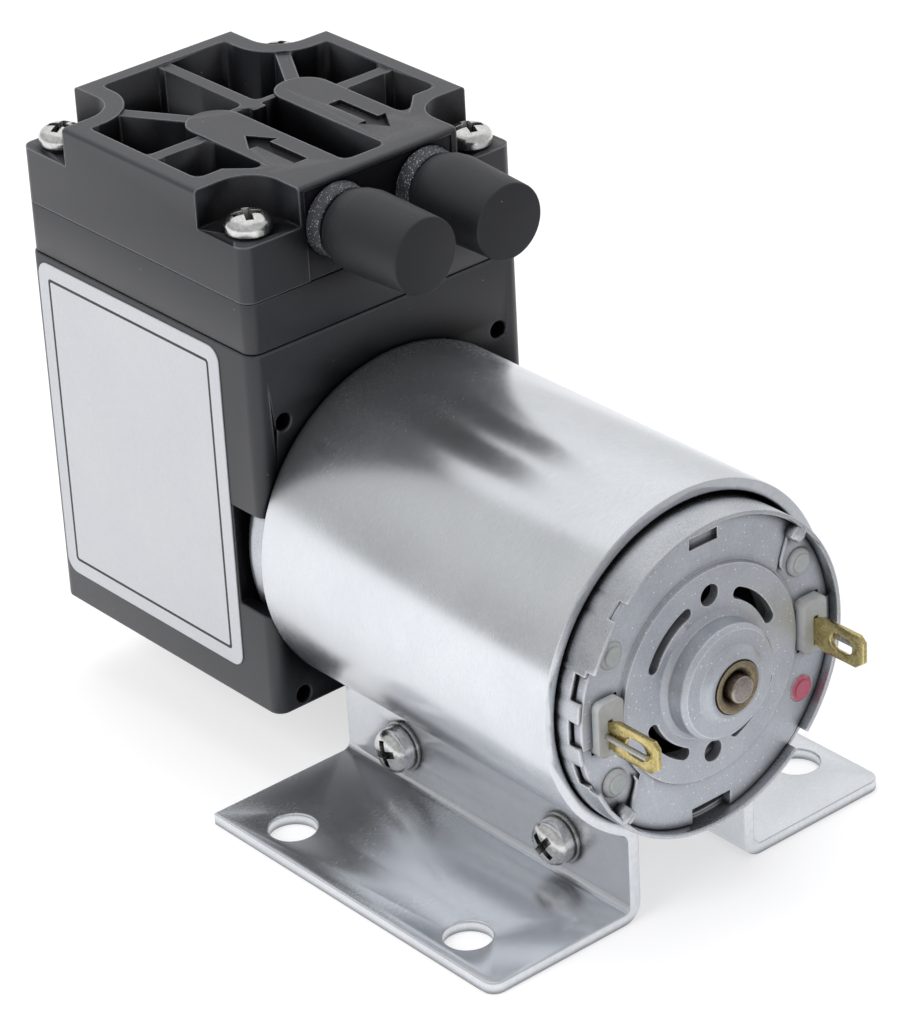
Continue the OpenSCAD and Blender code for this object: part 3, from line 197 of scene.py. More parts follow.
def surface(
    name,
    light,
    dark,
    rough,
    grain=0.4,
    bump=0.004,
    metallic=0.0,
    stretch=(1, 1, 1),
    patch=4.0,
    specks=None,
    ior=None,
    coat=0.0,
    subsurface=0.0,
    brushed=0.0,
    dab=None,
    edge=0.12,
    edge_highlight=None,
    hollow=None,
):
    """A finish with a fine grain and broad patches, in colour, roughness and height.

    light and dark are the colours that it varies between, and rough its lowest and highest
    roughness. grain and patch are the sizes of the two patterns in millimetres, bump is the
    grain's height in millimetres, and stretch draws the grain out along the axes with small
    numbers. brushed spreads the gloss along Y, as fine lines round the motor do, and edge is the
    radius in millimetres at which light rolls over the edges. specks, dab, worn and hollow go to
    the functions above: worn paints a highlight on the edges and hollow paints shade in recesses.
    """
    made, tree, shader = new_material(name)
    place = add(tree, "ShaderNodeTexCoord").outputs["Object"]
    drawn = add(tree, "ShaderNodeMapping", {"Vector": place, "Scale": stretch})
    inputs = {"Vector": drawn, "Scale": 1 / (grain * MM), "Detail": 3.0}
    fine = add(tree, "ShaderNodeTexNoise", inputs)
    inputs = {"Vector": place, "Scale": 1 / (patch * MM), "Detail": 4.0, "Roughness": 0.6}
    broad = add(tree, "ShaderNodeTexNoise", inputs)
    both = add(tree, "ShaderNodeMath", (fine, broad), operation="ADD")
    share = add(tree, "ShaderNodeMapRange", (both, *NOISE_SPAN, 0.0, 1.0))
    inputs = {"Factor": share, "A": colour(dark), "B": colour(light)}
    base = add(tree, "ShaderNodeMix", inputs, data_type="RGBA")
    rolled = add(tree, "ShaderNodeBevel", {"Radius": edge * MM}, samples=4)
    if specks:
        base = flecked(tree, place, base, specks)
    if dab:
        base = dabbed(tree, place, fine, base, dab)
    # A lighter colour painted on the edges stands in for a highlight
    if edge_highlight:
        base = highlight_edges(tree, rolled, base, edge_highlight)
    # A darker colour painted in the recesses stands in for shade
    if hollow:
        base = shade_hollows(tree, shader, base, hollow)
    sheen = add(tree, "ShaderNodeMapRange", (both, *NOISE_SPAN, *rough))
    inputs = {"Height": fine, "Distance": bump * MM, "Strength": 1.0, "Normal": rolled}
    relief = add(tree, "ShaderNodeBump", inputs)
    feed(shader, {"Base Color": base, "Roughness": sheen, "Normal": relief})
    feed(shader, {"Metallic": metallic, "Coat Weight": coat})
    if ior:
        feed(shader, {"IOR": ior})
    if subsurface:
        feed(shader, {"Subsurface Weight": subsurface, "Subsurface Scale": LIGHT_REACH})
    if brushed:
        normal = add(tree, "ShaderNodeNewGeometry").outputs["Normal"]
        along = add(tree, "ShaderNodeVectorMath", (normal, NEAR_AXIS), operation="CROSS_PRODUCT")
        feed(shader, {"Tangent": along, "Anisotropic": brushed, "Anisotropic Rotation": 0.25})
    return made


# Materials

# Specks of dust: their colour, and their size and spacing in millimetres
DUST = ("#b8b8ba", 0.055, 1.9)
# Glass-filled nylon, moulded: dark grey, satin, with a faint grain and dust
# Its edges carry a painted highlight, and its pockets painted shade that is nearly black
case_nylon = surface(
    "glass_filled_nylon", "#2f3035", "#28292d", (0.3, 0.42), 0.25, 0.003, ior=1.55, specks=DUST,
    edge=0.24, edge_highlight=("#96989e", 0.8), hollow=("#09090a", 6.0, 0.95),
)
# The same nylon from a blasted part of the mould: coarse, with pale scuffs on its grain
frosted_nylon = surface(
    "frosted_nylon", "#3a3b40", "#202125", (0.38, 0.6), 0.09, 0.04, ior=1.55,
    specks=("#c4c6ca", 0.05, 0.2),
)
# Soft vinyl, dip moulded: nearly black and matt
# Its edges carry a faint painted highlight
cap_vinyl = surface(
    "soft_vinyl", "#232427", "#1a1b1e", (0.46, 0.6), 0.2, 0.003, ior=1.5, specks=DUST,
    edge=0.15, edge_highlight=("#4a4b4f", 0.35),
)
# Aluminium sheet, cold rolled: bright, with soft mirrored shapes and fine lines along its rolling
# direction. The lines are drawn coarser than the real ones, so that they show.
# Its edges carry a painted highlight, and its recesses painted shade
rolled_aluminium = surface(
    "rolled_aluminium", "#e3e6ea", "#d3d6db", (0.2, 0.28), 0.06, 0.0004, metallic=0.93,
    stretch=(0.12, 1.0, 0.12), patch=9.0, brushed=0.7, specks=("#f4f5f6", 0.035, 0.9),
    edge_highlight=("#ffffff", 0.9), hollow=("#303236", 0.8, 0.7),
)
# Deep-drawn steel, nickel plated: satin grey with a fine peel
# Its edges carry a painted highlight, and its recesses painted shade
can_steel = surface(
    "nickel_plated_steel", "#cdd0d5", "#aeb1b7", (0.24, 0.38), 0.16, 0.002, metallic=0.95,
    specks=("#7d8087", 0.06, 1.1), edge=0.14, edge_highlight=("#ffffff", 1.0),
    hollow=("#2a2b2e", 1.1, 0.8),
)
# Pressed steel, zinc plated: bluish grey and dull, with bright specks
# Its edges carry a painted highlight, and its recesses painted shade
bell_steel = surface(
    "zinc_plated_steel", "#ccd0d7", "#b4b8c0", (0.36, 0.52), 0.16, 0.003, metallic=0.72,
    specks=("#f6f7f8", 0.085, 0.55), edge=0.15, edge_highlight=("#ffffff", 0.85),
    hollow=("#26272a", 0.9, 0.85),
)
# Headed steel, bright zinc plated: a clear shine with soft patches
# Its edges carry a painted highlight, and its recess painted shade
screw_steel = surface(
    "bright_zinc", "#e6e6e5", "#c4c4c3", (0.16, 0.3), 0.3, 0.0006, metallic=1.0, patch=1.5,
    edge=0.06, edge_highlight=("#fafafa", 0.8), hollow=("#3c3c3e", 0.6, 0.85),
)
# Spring steel, drawn: mid grey with a soft shine
spring_steel = surface(
    "spring_steel", "#7d7d80", "#5a5a5e", (0.3, 0.45), 0.3, 0.002, metallic=1.0
)
# Shaft steel, ground: warm grey, with a painted highlight on its rim
shaft_steel = surface(
    "ground_steel", "#b3aca6", "#857d78", (0.2, 0.34), 0.1, 0.0008, metallic=1.0, patch=1.2,
    edge_highlight=("#fbf7f2", 1.0),
)
# Bearing steel, polished: almost a mirror
bearing_steel = surface(
    "bearing_steel", "#c9cacb", "#b4b5b7", (0.08, 0.16), 0.5, 0.0005, metallic=1.0
)
# Silicon steel sheets, punched and stacked: fine dark lines between the sheets
core_steel = surface(
    "stacked_sheets", "#7e8084", "#4c4e52", (0.35, 0.5), 0.35, 0.02, metallic=1.0,
    stretch=(0.05, 1.0, 0.05),
)
# Natural nylon, moulded: milky, with a little depth to it
natural_nylon = surface(
    "natural_nylon", "#cdcfcf", "#bfc2c2", (0.34, 0.46), 0.4, 0.002, ior=1.53, subsurface=0.3,
    edge=0.3, dab=("#e0607e", DAB_MIDDLE, DAB_RADIUS),
)
# Brass strip, stamped: yellow with brown tarnish, and a painted highlight on its edges
terminal_brass = surface(
    "stamped_brass", "#dbcb90", "#ab9a62", (0.2, 0.32), 0.25, 0.0002, metallic=1.0, patch=2.5,
    edge=0.1, edge_highlight=("#fbf3c8", 1.0),
)
# Copper wire, tinned: silvery with a dull bloom
tinned_wire = surface(
    "tinned_wire", "#cfcfcb", "#a9a8a3", (0.24, 0.4), 0.2, 0.004, metallic=1.0
)
# Phosphor bronze strip, rolled: reddish brown with a soft shine
spring_bronze = surface(
    "phosphor_bronze", "#b98a55", "#8f6538", (0.25, 0.4), 0.3, 0.002, metallic=1.0
)
# Bronze powder, sintered and oiled: dark and porous
# Its edges carry a painted highlight, and its recesses painted shade
sintered_bronze = surface(
    "sintered_bronze", "#a89c84", "#6b5c45", (0.3, 0.5), 0.12, 0.004, metallic=0.9, patch=0.8,
    edge=0.1, edge_highlight=("#d8cfb8", 0.8), hollow=("#1c1712", 0.6, 0.9),
)
# Carbon, pressed: black and powdery
carbon = surface("pressed_carbon", "#2a2a2c", "#17171a", (0.45, 0.7), 0.15, 0.006)
# Ferrite, ground: dark grey and dull
ferrite = surface("ground_ferrite", "#3b3b3e", "#29292c", (0.4, 0.6), 0.2, 0.004)
# Copper wire, enamelled and wound: reddish turns side by side under a gloss
magnet_wire = surface(
    "enamelled_copper", "#b4633a", "#7f3f20", (0.18, 0.3), 0.3, 0.05, metallic=0.8,
    stretch=(1.0, 0.05, 1.0), coat=0.6,
)
# Copper, turned: bright reddish with fine marks
commutator_copper = surface(
    "turned_copper", "#c98260", "#9a5b3c", (0.2, 0.36), 0.12, 0.004, metallic=1.0
)
# Phenolic resin, moulded: dark brown and satin
phenolic = surface("moulded_phenolic", "#4a2f1c", "#332013", (0.35, 0.5), 0.3, 0.003)
# Aluminium, turned: pale and clean, with tool marks round it
machined_aluminium = surface(
    "machined_aluminium", "#cdcecf", "#b2b3b5", (0.25, 0.4), 0.15, 0.003, metallic=1.0,
    stretch=(1.0, 0.1, 1.0),
)
# Natural acetal, moulded: white and slightly waxy
acetal = surface(
    "natural_acetal", "#e6e4db", "#d8d5c9", (0.3, 0.42), 0.4, 0.002, ior=1.48, subsurface=0.15
)
# EPDM rubber, moulded: black and matt
diaphragm_rubber = surface("moulded_epdm", "#242424", "#191919", (0.5, 0.65), 0.2, 0.004)
# Silicone rubber, moulded: amber, with some light in it
valve_rubber = surface(
    "moulded_silicone", "#b59a76", "#9c8260", (0.4, 0.5), 0.3, 0.002, subsurface=0.2
)
# Nitrile rubber, moulded: black with a faint gloss
seal_rubber = surface("moulded_nitrile", "#1c1c1c", "#121212", (0.4, 0.55), 0.2, 0.002)
# Polyester film, silvered: pale grey and even
label_film = surface(
    "polyester_film", "#d9dbdf", "#d2d4d9", (0.3, 0.38), 0.3, 0.0008, metallic=0.2, patch=8.0,
    ior=1.57,
)
# Ink, screen printed: flat black
frame_ink = surface("screen_ink", "#232327", "#1b1b1f", (0.4, 0.5), 0.2, 0.0005, ior=1.5)

SLOT_FINISH = {
    "bracket_aluminium": rolled_aluminium,
    "can_steel": can_steel,
    "bell_steel": bell_steel,
    "screw_steel": screw_steel,
    "spring_steel": spring_steel,
    "shaft_steel": shaft_steel,
    "bearing_steel": bearing_steel,
    "core_steel": core_steel,
    "nylon": natural_nylon,
    "terminal_brass": terminal_brass,
    "tinned_wire": tinned_wire,
    "spring_bronze": spring_bronze,
    "sintered_bronze": sintered_bronze,
    "carbon": carbon,
    "ferrite": ferrite,
    "magnet_wire": magnet_wire,
    "commutator_copper": commutator_copper,
    "phenolic": phenolic,
    "hub_aluminium": machined_aluminium,
    "disc_aluminium": machined_aluminium,
    "case_plastic": case_nylon,
    "cover_plastic": case_nylon,
    "rod_plastic": acetal,
    "diaphragm_rubber": diaphragm_rubber,
    "valve_rubber": valve_rubber,
    "seal_rubber": seal_rubber,
    "cap_rubber": cap_vinyl,
    "label_film": label_film,
}
SLOT_OF = {part["node"]: part["material_slot"] for part in frame["record"]["subparts"]}
for name, piece in nodes.items():
    piece.data.materials.clear()
    piece.data.materials.append(SLOT_FINISH[SLOT_OF[name]])


# Pieces

# Edges and shading turn sharp above this angle, in degrees
SHARP = 35


def body_with(node):
    """The body that a CAD node belongs to."""
    return next(b for b, held in frame["record"]["behaviour"]["bodies"].items() if node in held)


def finish_piece(piece, node, *replaced):
    """The piece rides with a node's body and stands for the nodes named."""
    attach(piece, body_with(node))
    if replaced:
        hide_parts(*replaced)


def placed(name, mesh):
    """A new object in the scene that shows the mesh."""
    piece = bpy.data.objects.new(name, mesh)
    bpy.context.scene.collection.objects.link(piece)
    return piece


def made_from(edit, name, *finishes):
    """A new object of what is being edited, with its finishes."""
    mesh = bpy.data.meshes.new(name)
    edit.to_mesh(mesh)
    edit.free()
    for finish in finishes:
        mesh.materials.append(finish)
    return placed(name, mesh)


def shaded(piece, corner=SHARP):
    """Smooth shading that keeps the edges sharp above an angle in degrees."""
    piece.data.shade_smooth()
    piece.data.set_sharp_from_angle(angle=math.radians(corner))


def settle(piece):
    """The piece's modifiers worked into its mesh."""
    evaluated = piece.evaluated_get(bpy.context.evaluated_depsgraph_get())
    made = bpy.data.meshes.new_from_object(evaluated)
    piece.modifiers.clear()
    piece.data = made
    made.name = piece.name


def clean_copy(node):
    """A CAD node's mesh with each flat face in as few pieces as it needs."""
    same_point = 0.0015 * MM
    same_plane = math.radians(0.3)
    edit = bmesh.new()
    edit.from_mesh(nodes[node].data)
    bmesh.ops.remove_doubles(edit, verts=edit.verts, dist=same_point)
    bmesh.ops.dissolve_limit(edit, angle_limit=same_plane, verts=edit.verts, edges=edit.edges)
    return edit


def runs_on(edge, other):
    """Whether another edge carries on from this one without a sharp turn."""
    shared = set(edge.verts) & set(other.verts)
    if not shared:
        return False
    joint = shared.pop()
    first = (edge.other_vert(joint).co - joint.co).normalized()
    second = (joint.co - other.other_vert(joint).co).normalized()
    return first.dot(second) > math.cos(math.radians(SHARP))


def rounding_room(edge, width):
    """How wide this edge can be rounded before it meets the next edges of its two faces."""
    # Two roundings share an edge, with a little to spare
    sharers = 2.3
    # The sine of the angle between two edges is taken as no less than this
    least_slant = 0.25
    room = width
    for vert in edge.verts:
        for other in vert.link_edges:
            if other is edge or not set(other.link_faces) & set(edge.link_faces):
                continue
            if runs_on(edge, other):
                continue
            first = (edge.other_vert(vert).co - vert.co).normalized()
            second = (other.other_vert(vert).co - vert.co).normalized()
            slant = max(least_slant, math.sqrt(max(0.0, 1 - first.dot(second) ** 2)))
            room = min(room, other.calc_length() * slant / sharers)
    return room


def runs_round(edge):
    """Whether an edge of the end bell follows a circle, on the tower or out at the rim."""
    tower_reach = 6.6 * MM
    rim_reach = 12.6 * MM
    same = 0.01 * MM
    first, second = (math.hypot(v.co.x, v.co.z - AXIS_H) for v in edge.verts)
    level = abs(edge.verts[0].co.y - edge.verts[1].co.y) < same
    on_ring = first < tower_reach or first > rim_reach
    return level and abs(first - second) < same and on_ring


def rounded(node, name, width, segments=2, chosen=None, smooth=SHARP):
    """A copy of a CAD node whose sharp edges are rounded, as moulding and tumbling leave them.

    width is the rounding's in millimetres. chosen tells of an edge whether it is rounded, and
    smooth is the angle in degrees up to which faces are shaded as one.
    """
    # An edge with room for less than this share of the width stays sharp
    least_share = 0.12
    edit = clean_copy(node)
    share = edit.edges.layers.float.new("bevel_weight_edge")
    for edge in edit.edges:
        if chosen and not chosen(edge):
            continue
        if edge.is_manifold and edge.calc_face_angle(0) > math.radians(SHARP):
            room = rounding_room(edge, width * MM) / (width * MM)
            edge[share] = room if room > least_share else 0.0
    piece = made_from(edit, name, SLOT_FINISH[SLOT_OF[node]])
    bevel = piece.modifiers.new("round", "BEVEL")
    bevel.width = width * MM
    bevel.segments = segments
    bevel.limit_method = "WEIGHT"
    bevel.use_clamp_overlap = False
    settle(piece)
    shaded(piece, smooth)
    finish_piece(piece, node, node)


def as_built(node, name, smooth):
    """A CAD node's own shape, shaded smoothly up to an angle in degrees."""
    piece = made_from(clean_copy(node), name, SLOT_FINISH[SLOT_OF[node]])
    shaded(piece, smooth)
    finish_piece(piece, node, node)


def skin(edit, rings, endless=False):
    """Faces from each ring of points to the next. The last joins the first, or both get lids."""
    rows = [[edit.verts.new(point) for point in ring] for ring in rings]
    count = len(rows[0])
    faces = []
    for first, second in zip(rows, rows[1:] + rows[:1] if endless else rows[1:]):
        for i in range(count):
            after = (i + 1) % count
            faces.append(edit.faces.new((first[i], first[after], second[after], second[i])))
    if not endless:
        faces += [edit.faces.new(rows[0]), edit.faces.new(rows[-1])]
    return faces


# The cover, with rounded corners in its pockets


def pocket_corner(edge):
    """Whether an edge is a sharp upright one, in a hollow corner of the cover's pockets."""
    shallowest = 3 * MM
    side_wall = 1.5 * MM
    front_wall = 1.3 * MM
    under_top = 0.5 * MM
    least_turn = math.radians(25)
    same = 0.01 * MM
    first, second = (v.co for v in edge.verts)
    deep = abs(first.z - second.z) > shallowest
    upright = abs(first.x - second.x) + abs(first.y - second.y) < same
    inside = (
        COVER_LOW.x + side_wall < first.x < COVER_HIGH.x - side_wall
        and FACE_Y + front_wall < first.y < CASE_HIGH.y - side_wall
        and max(first.z, second.z) > COVER_HIGH.z - under_top
    )
    if not (deep and upright and inside and edge.is_manifold):
        return False
    return edge.calc_face_angle_signed(0) < -least_turn


def corner_fillet(edit, edge, radius):
    """A slim upright piece that rounds one hollow corner out, set a little into its walls."""
    # How far it is sunk into the walls and the floor
    sink = 0.08 * MM
    floor_sink = 0.1 * MM
    # It takes less than half of each wall, and one smaller than this is left out
    wall_share = 0.42
    smallest = 0.15 * MM
    arc_steps = 6
    base = edge.verts[0].co.copy()
    low = min(v.co.z for v in edge.verts) - floor_sink
    high = max(v.co.z for v in edge.verts)
    walls = []
    for face in edge.link_faces:
        along = Vector((-face.normal.y, face.normal.x, 0.0)).normalized()
        reach = max((v.co - base).dot(along) for v in face.verts)
        back = min((v.co - base).dot(along) for v in face.verts)
        if -back > reach:
            along, reach = -along, -back
        walls.append((along, reach, face.normal.copy()))
    (first, first_reach, first_out), (second, second_reach, second_out) = walls
    slope = math.tan(first.angle(second) / 2)
    reach = min(radius / slope, wall_share * first_reach, wall_share * second_reach)
    size = reach * slope
    if size < smallest:
        return
    middle = base + first * reach + first_out * size
    start = base + first * reach - middle
    end = base + second * reach - middle
    sweep = start.angle(end) * (1 if start.cross(end).z > 0 else -1)
    outline = [
        base - (first_out + second_out) * sink,
        base + first * reach - first_out * sink,
    ]
    for step in range(arc_steps + 1):
        outline.append(middle + Matrix.Rotation(sweep * step / arc_steps, 3, "Z") @ start)
    outline.append(base + second * reach - second_out * sink)
    faces = skin(edit, [[(p.x, p.y, z) for p in outline] for z in (low, high)])
    bmesh.ops.recalc_face_normals(edit, faces=faces)


def ribbed_cover():
    """The cover with rounded pocket corners, as the mould's cutters leave them."""
    radius = 0.95 * MM
    edit = clean_copy("top_cover")
    fillets = bmesh.new()
    for edge in edit.edges:
        if pocket_corner(edge):
            corner_fillet(fillets, edge, radius)
    piece = made_from(edit, "ribbed_cover", case_nylon)
    helper = made_from(fillets, "pocket_fillets")
    join = piece.modifiers.new("fillets", "BOOLEAN")
    join.operation = "UNION"
    join.solver = "EXACT"
    join.use_self = True
    join.object = helper
    settle(piece)
    bpy.data.objects.remove(helper)
    shaded(piece)
    finish_piece(piece, "top_cover", "top_cover")


ribbed_cover()
rounded("crankcase", "moulded_crankcase", 0.2, segments=3)
rounded("valve_plate", "moulded_valve_plate", 0.16)
rounded("clamp_bracket", "folded_bracket", 0.14)
rounded("motor_can", "drawn_can", 0.1)
rounded("end_bell", "pressed_end_bell", 0.12, chosen=runs_round, smooth=13)
as_built("brush_holder", "moulded_brush_holder", smooth=20)
rounded("left_terminal", "stamped_left_terminal", 0.08)
rounded("right_terminal", "stamped_right_terminal", 0.08)
rounded("inlet_cap", "moulded_inlet_cap", 0.1)
rounded("outlet_cap", "moulded_outlet_cap", 0.1)
rounded("rear_bush", "pressed_rear_bush", 0.08)
rounded("motor_shaft", "ground_shaft", 0.06)


# Screws, set by a node tree that turns one head out of its sizes

HEAD_WIDE = 3.9 * MM
HEAD_HIGH = 1.5 * MM
# A recess wing's length, width and depth, and how far its middle is lifted, as shares of the
# head's diameter and height
WING_SIZE = (0.8, 0.21, 1.4)
WING_LIFT = (0.0, 0.0, 1.08)
# How wide a wing is at its bottom and at its top, as shares of its size
WING_TAPER = (0.62, 1.08)
# The powers that bend the dome: the first keeps its middle flat, the second rounds its rim
DOME_POWERS = (2.6, 0.62)
# A screw stops turning between these angles, in radians
LEAST_TURN = 0.3
MOST_TURN = 1.4


def named_input(tree, name, kind, value):
    """A named input of a node tree, with its usual value."""
    tree.interface.new_socket(name, in_out="INPUT", socket_type=kind).default_value = value


def domed_disc(tree, given):
    """The head's outside: its top rises from the rim in a dome, steeply at first."""
    radius = add(tree, "ShaderNodeMath", (given["Head diameter"], 0.5), operation="MULTIPLY")
    inputs = {
        "Vertices": 48,
        "Side Segments": 3,
        "Fill Segments": 10,
        "Radius": radius,
        "Depth": given["Rim height"],
    }
    disc = add(tree, "GeometryNodeMeshCylinder", inputs)
    at = add(tree, "GeometryNodeInputPosition")
    flat = add(tree, "ShaderNodeVectorMath", (at, (1.0, 1.0, 0.0)), operation="MULTIPLY")
    out = add(tree, "ShaderNodeVectorMath", (flat,), operation="LENGTH")
    share = add(tree, "ShaderNodeMath", (out, radius), operation="DIVIDE", use_clamp=True)
    bent = add(tree, "ShaderNodeMath", (share, DOME_POWERS[0]), operation="POWER")
    rest = add(tree, "ShaderNodeMath", (1.0, bent), operation="SUBTRACT", use_clamp=True)
    dome = add(tree, "ShaderNodeMath", (rest, DOME_POWERS[1]), operation="POWER")
    sizes = (given["Head height"], given["Rim height"])
    spare = add(tree, "ShaderNodeMath", sizes, operation="SUBTRACT")
    up = add(tree, "ShaderNodeSeparateXYZ", (at,)).outputs["Z"]
    upper = add(tree, "ShaderNodeMath", (up, 0.0), operation="GREATER_THAN")
    half = add(tree, "ShaderNodeMath", (given["Rim height"], 0.5), operation="MULTIPLY")
    raised = add(tree, "ShaderNodeMath", (dome, spare), operation="MULTIPLY")
    rise = add(tree, "ShaderNodeMath", (raised, upper, half), operation="MULTIPLY_ADD")
    offset = add(tree, "ShaderNodeCombineXYZ", {"Z": rise})
    return add(tree, "GeometryNodeSetPosition", {"Geometry": disc, "Offset": offset})


def recess_wing(tree, given, turn):
    """One of the recess's crossed wings, narrower towards the bottom and turned about Z."""
    wide, high = given["Head diameter"], given["Head height"]
    head = add(tree, "ShaderNodeCombineXYZ", (wide, wide, high))
    size = add(tree, "ShaderNodeVectorMath", (head, WING_SIZE), operation="MULTIPLY")
    wing = add(tree, "GeometryNodeMeshCube", {"Size": size})
    at = add(tree, "GeometryNodeInputPosition")
    up = add(tree, "ShaderNodeSeparateXYZ", (at,)).outputs["Z"]
    bottom = add(tree, "ShaderNodeMath", (high, -WING_SIZE[2] / 2), operation="MULTIPLY")
    top = add(tree, "ShaderNodeMath", (high, WING_SIZE[2] / 2), operation="MULTIPLY")
    narrow = add(tree, "ShaderNodeMapRange", (up, bottom, top, *WING_TAPER))
    taper = add(tree, "ShaderNodeCombineXYZ", (narrow, narrow, 1.0))
    shape = add(tree, "ShaderNodeVectorMath", (at, taper), operation="MULTIPLY")
    tapered = add(tree, "GeometryNodeSetPosition", {"Geometry": wing, "Position": shape})
    lift = add(tree, "ShaderNodeVectorMath", (head, WING_LIFT), operation="MULTIPLY")
    inputs = {"Geometry": tapered, "Translation": lift, "Rotation": (0.0, 0.0, turn)}
    return add(tree, "GeometryNodeTransform", inputs)


def pan_head_tree():
    """Pan heads with a cross recess and a shank, one on each point, each turned by chance."""
    tree = bpy.data.node_groups.new("pan_heads", "GeometryNodeTree")
    tree.interface.new_socket("Points", in_out="INPUT", socket_type="NodeSocketGeometry")
    named_input(tree, "Head diameter", "NodeSocketFloat", HEAD_WIDE)
    named_input(tree, "Head height", "NodeSocketFloat", HEAD_HIGH)
    named_input(tree, "Rim height", "NodeSocketFloat", 0.65 * MM)
    named_input(tree, "Thread", "NodeSocketFloat", 2.0 * MM)
    named_input(tree, "Length", "NodeSocketFloat", 10 * MM)
    named_input(tree, "Lean", "NodeSocketVector", (0.0, 0.0, 0.0))
    named_input(tree, "Seed", "NodeSocketInt", 3)
    named_input(tree, "Finish", "NodeSocketMaterial", screw_steel)
    tree.interface.new_socket("Screws", in_out="OUTPUT", socket_type="NodeSocketGeometry")
    given = add(tree, "NodeGroupInput").outputs
    cut = domed_disc(tree, given)
    for turn in (0.0, math.pi / 2):
        inputs = {"Mesh 1": cut, "Mesh 2": recess_wing(tree, given, turn)}
        settings = {"operation": "DIFFERENCE", "solver": "EXACT"}
        cut = add(tree, "GeometryNodeMeshBoolean", inputs, **settings)
    radius = add(tree, "ShaderNodeMath", (given["Thread"], 0.5), operation="MULTIPLY")
    inputs = {"Vertices": 32, "Radius": radius, "Depth": given["Length"]}
    shank = add(tree, "GeometryNodeMeshCylinder", inputs)
    half = add(tree, "ShaderNodeMath", (given["Length"], -0.5), operation="MULTIPLY")
    drop = add(tree, "ShaderNodeCombineXYZ", {"Z": half})
    hung = add(tree, "GeometryNodeTransform", {"Geometry": shank, "Translation": drop})
    screw = add(tree, "GeometryNodeJoinGeometry")
    for part in (cut, hung):
        feed(screw, (part,))
    chance = {"Min": LEAST_TURN, "Max": MOST_TURN, "Seed": given["Seed"]}
    turned = add(tree, "FunctionNodeRandomValue", chance, data_type="FLOAT")
    spin = add(tree, "ShaderNodeCombineXYZ", {"Z": turned})
    inputs = {"Rotation": spin, "Rotate By": given["Lean"]}
    settings = {"rotation_type": "EULER", "space": "OBJECT"}
    lean = add(tree, "FunctionNodeRotateEuler", inputs, **settings)
    inputs = {"Points": given["Points"], "Instance": screw, "Rotation": lean}
    copies = add(tree, "GeometryNodeInstanceOnPoints", inputs)
    solid = add(tree, "GeometryNodeRealizeInstances", {"Geometry": copies})
    inputs = {"Geometry": solid, "Material": given["Finish"]}
    dressed = add(tree, "GeometryNodeSetMaterial", inputs)
    add(tree, "NodeGroupOutput", (dressed,))
    return tree


def grown(name, points, tree, **values):
    """The plain mesh that a node tree makes of some points. Values go to its named inputs."""
    mesh = bpy.data.meshes.new(name)
    mesh.from_pydata(points, [], [])
    piece = placed(name, mesh)
    maker = piece.modifiers.new(name, "NODES")
    maker.node_group = tree
    for socket in tree.interface.items_tree:
        if socket.name in values:
            maker[socket.identifier] = values[socket.name]
    settle(piece)
    # The dome's facets turn by less than this, and the recess's walls by more
    shaded(piece, 38)
    return piece


def screws():
    """The cover's four screws and the clamp's two, where the CAD has them."""
    heads = pan_head_tree()
    inset = HEAD_WIDE / 2
    low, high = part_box("cover_screws")
    seat = high.z - HEAD_HIGH
    points = [
        (x, y, seat)
        for x in (low.x + inset, high.x - inset)
        for y in (low.y + inset, high.y - inset)
    ]
    piece = grown("cover_pan_screws", points, heads, Length=seat - low.z, Seed=4)
    finish_piece(piece, "cover_screws", "cover_screws")
    low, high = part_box("clamp_screws")
    seat = low.x + HEAD_HIGH
    height = (low.z + high.z) / 2
    points = [(seat, y, height) for y in (low.y + inset, high.y - inset)]
    values = {"Length": high.x - seat, "Lean": (0.0, -math.pi / 2, 0.0), "Seed": 9}
    piece = grown("clamp_pan_screws", points, heads, **values)
    finish_piece(piece, "clamp_screws", "clamp_screws")


screws()


# Small forms that the moulds and presses leave


def circle(middle, radius, steps):
    """The points of a circle round a line along Y."""
    turns = [2 * math.pi * i / steps for i in range(steps)]
    return [middle + radius * Vector((math.cos(t), 0.0, math.sin(t))) for t in turns]


def trim(edit, name, finish, smooth, node):
    """A small closed piece that rides with a node, shaded smoothly up to an angle in degrees."""
    # Which way is out is judged by the normals, so they are brought up to date first
    edit.normal_update()
    bmesh.ops.recalc_face_normals(edit, faces=edit.faces)
    piece = made_from(edit, name, finish)
    shaded(piece, smooth)
    finish_piece(piece, node)


def frosted_collars():
    """Rough rings at the roots of the ports, scuffed pale where the mould was blasted."""
    # The ports' distance from the middle and their height
    port_reach = 4.7 * MM
    port_h = AXIS_H + 28.8 * MM
    # Radius, and distance out from the head's front, in millimetres
    section = [(2.8, -0.05), (2.8, 1.32), (2.95, 1.34), (3.06, 1.25), (3.12, 0.3), (3.2, -0.05)]
    for name, across in (("left_port_collar", -port_reach), ("right_port_collar", port_reach)):
        edit = bmesh.new()
        rings = [
            circle(Vector((across, FACE_Y - out * MM, port_h)), radius * MM, 48)
            for radius, out in section
        ]
        skin(edit, rings, endless=True)
        trim(edit, name, frosted_nylon, 50, "top_cover")


def stake_heads():
    """Dished heads of the nylon stakes, as the hot staking tool leaves them."""
    # Radius, and distance out from the plate, in millimetres
    section = [(0.84, 0.16), (0.86, 0.24), (0.8, 0.32), (0.68, 0.34), (0.52, 0.27), (0.3, 0.24)]
    edit = bmesh.new()
    for across in (-STAKE_ACROSS, STAKE_ACROSS):
        for up in (-STAKE_UP, STAKE_UP):
            skin(edit, [circle(on_plate(across, up, out), r * MM, 28) for r, out in section])
    trim(edit, "stake_heads", natural_nylon, 50, "brush_holder")


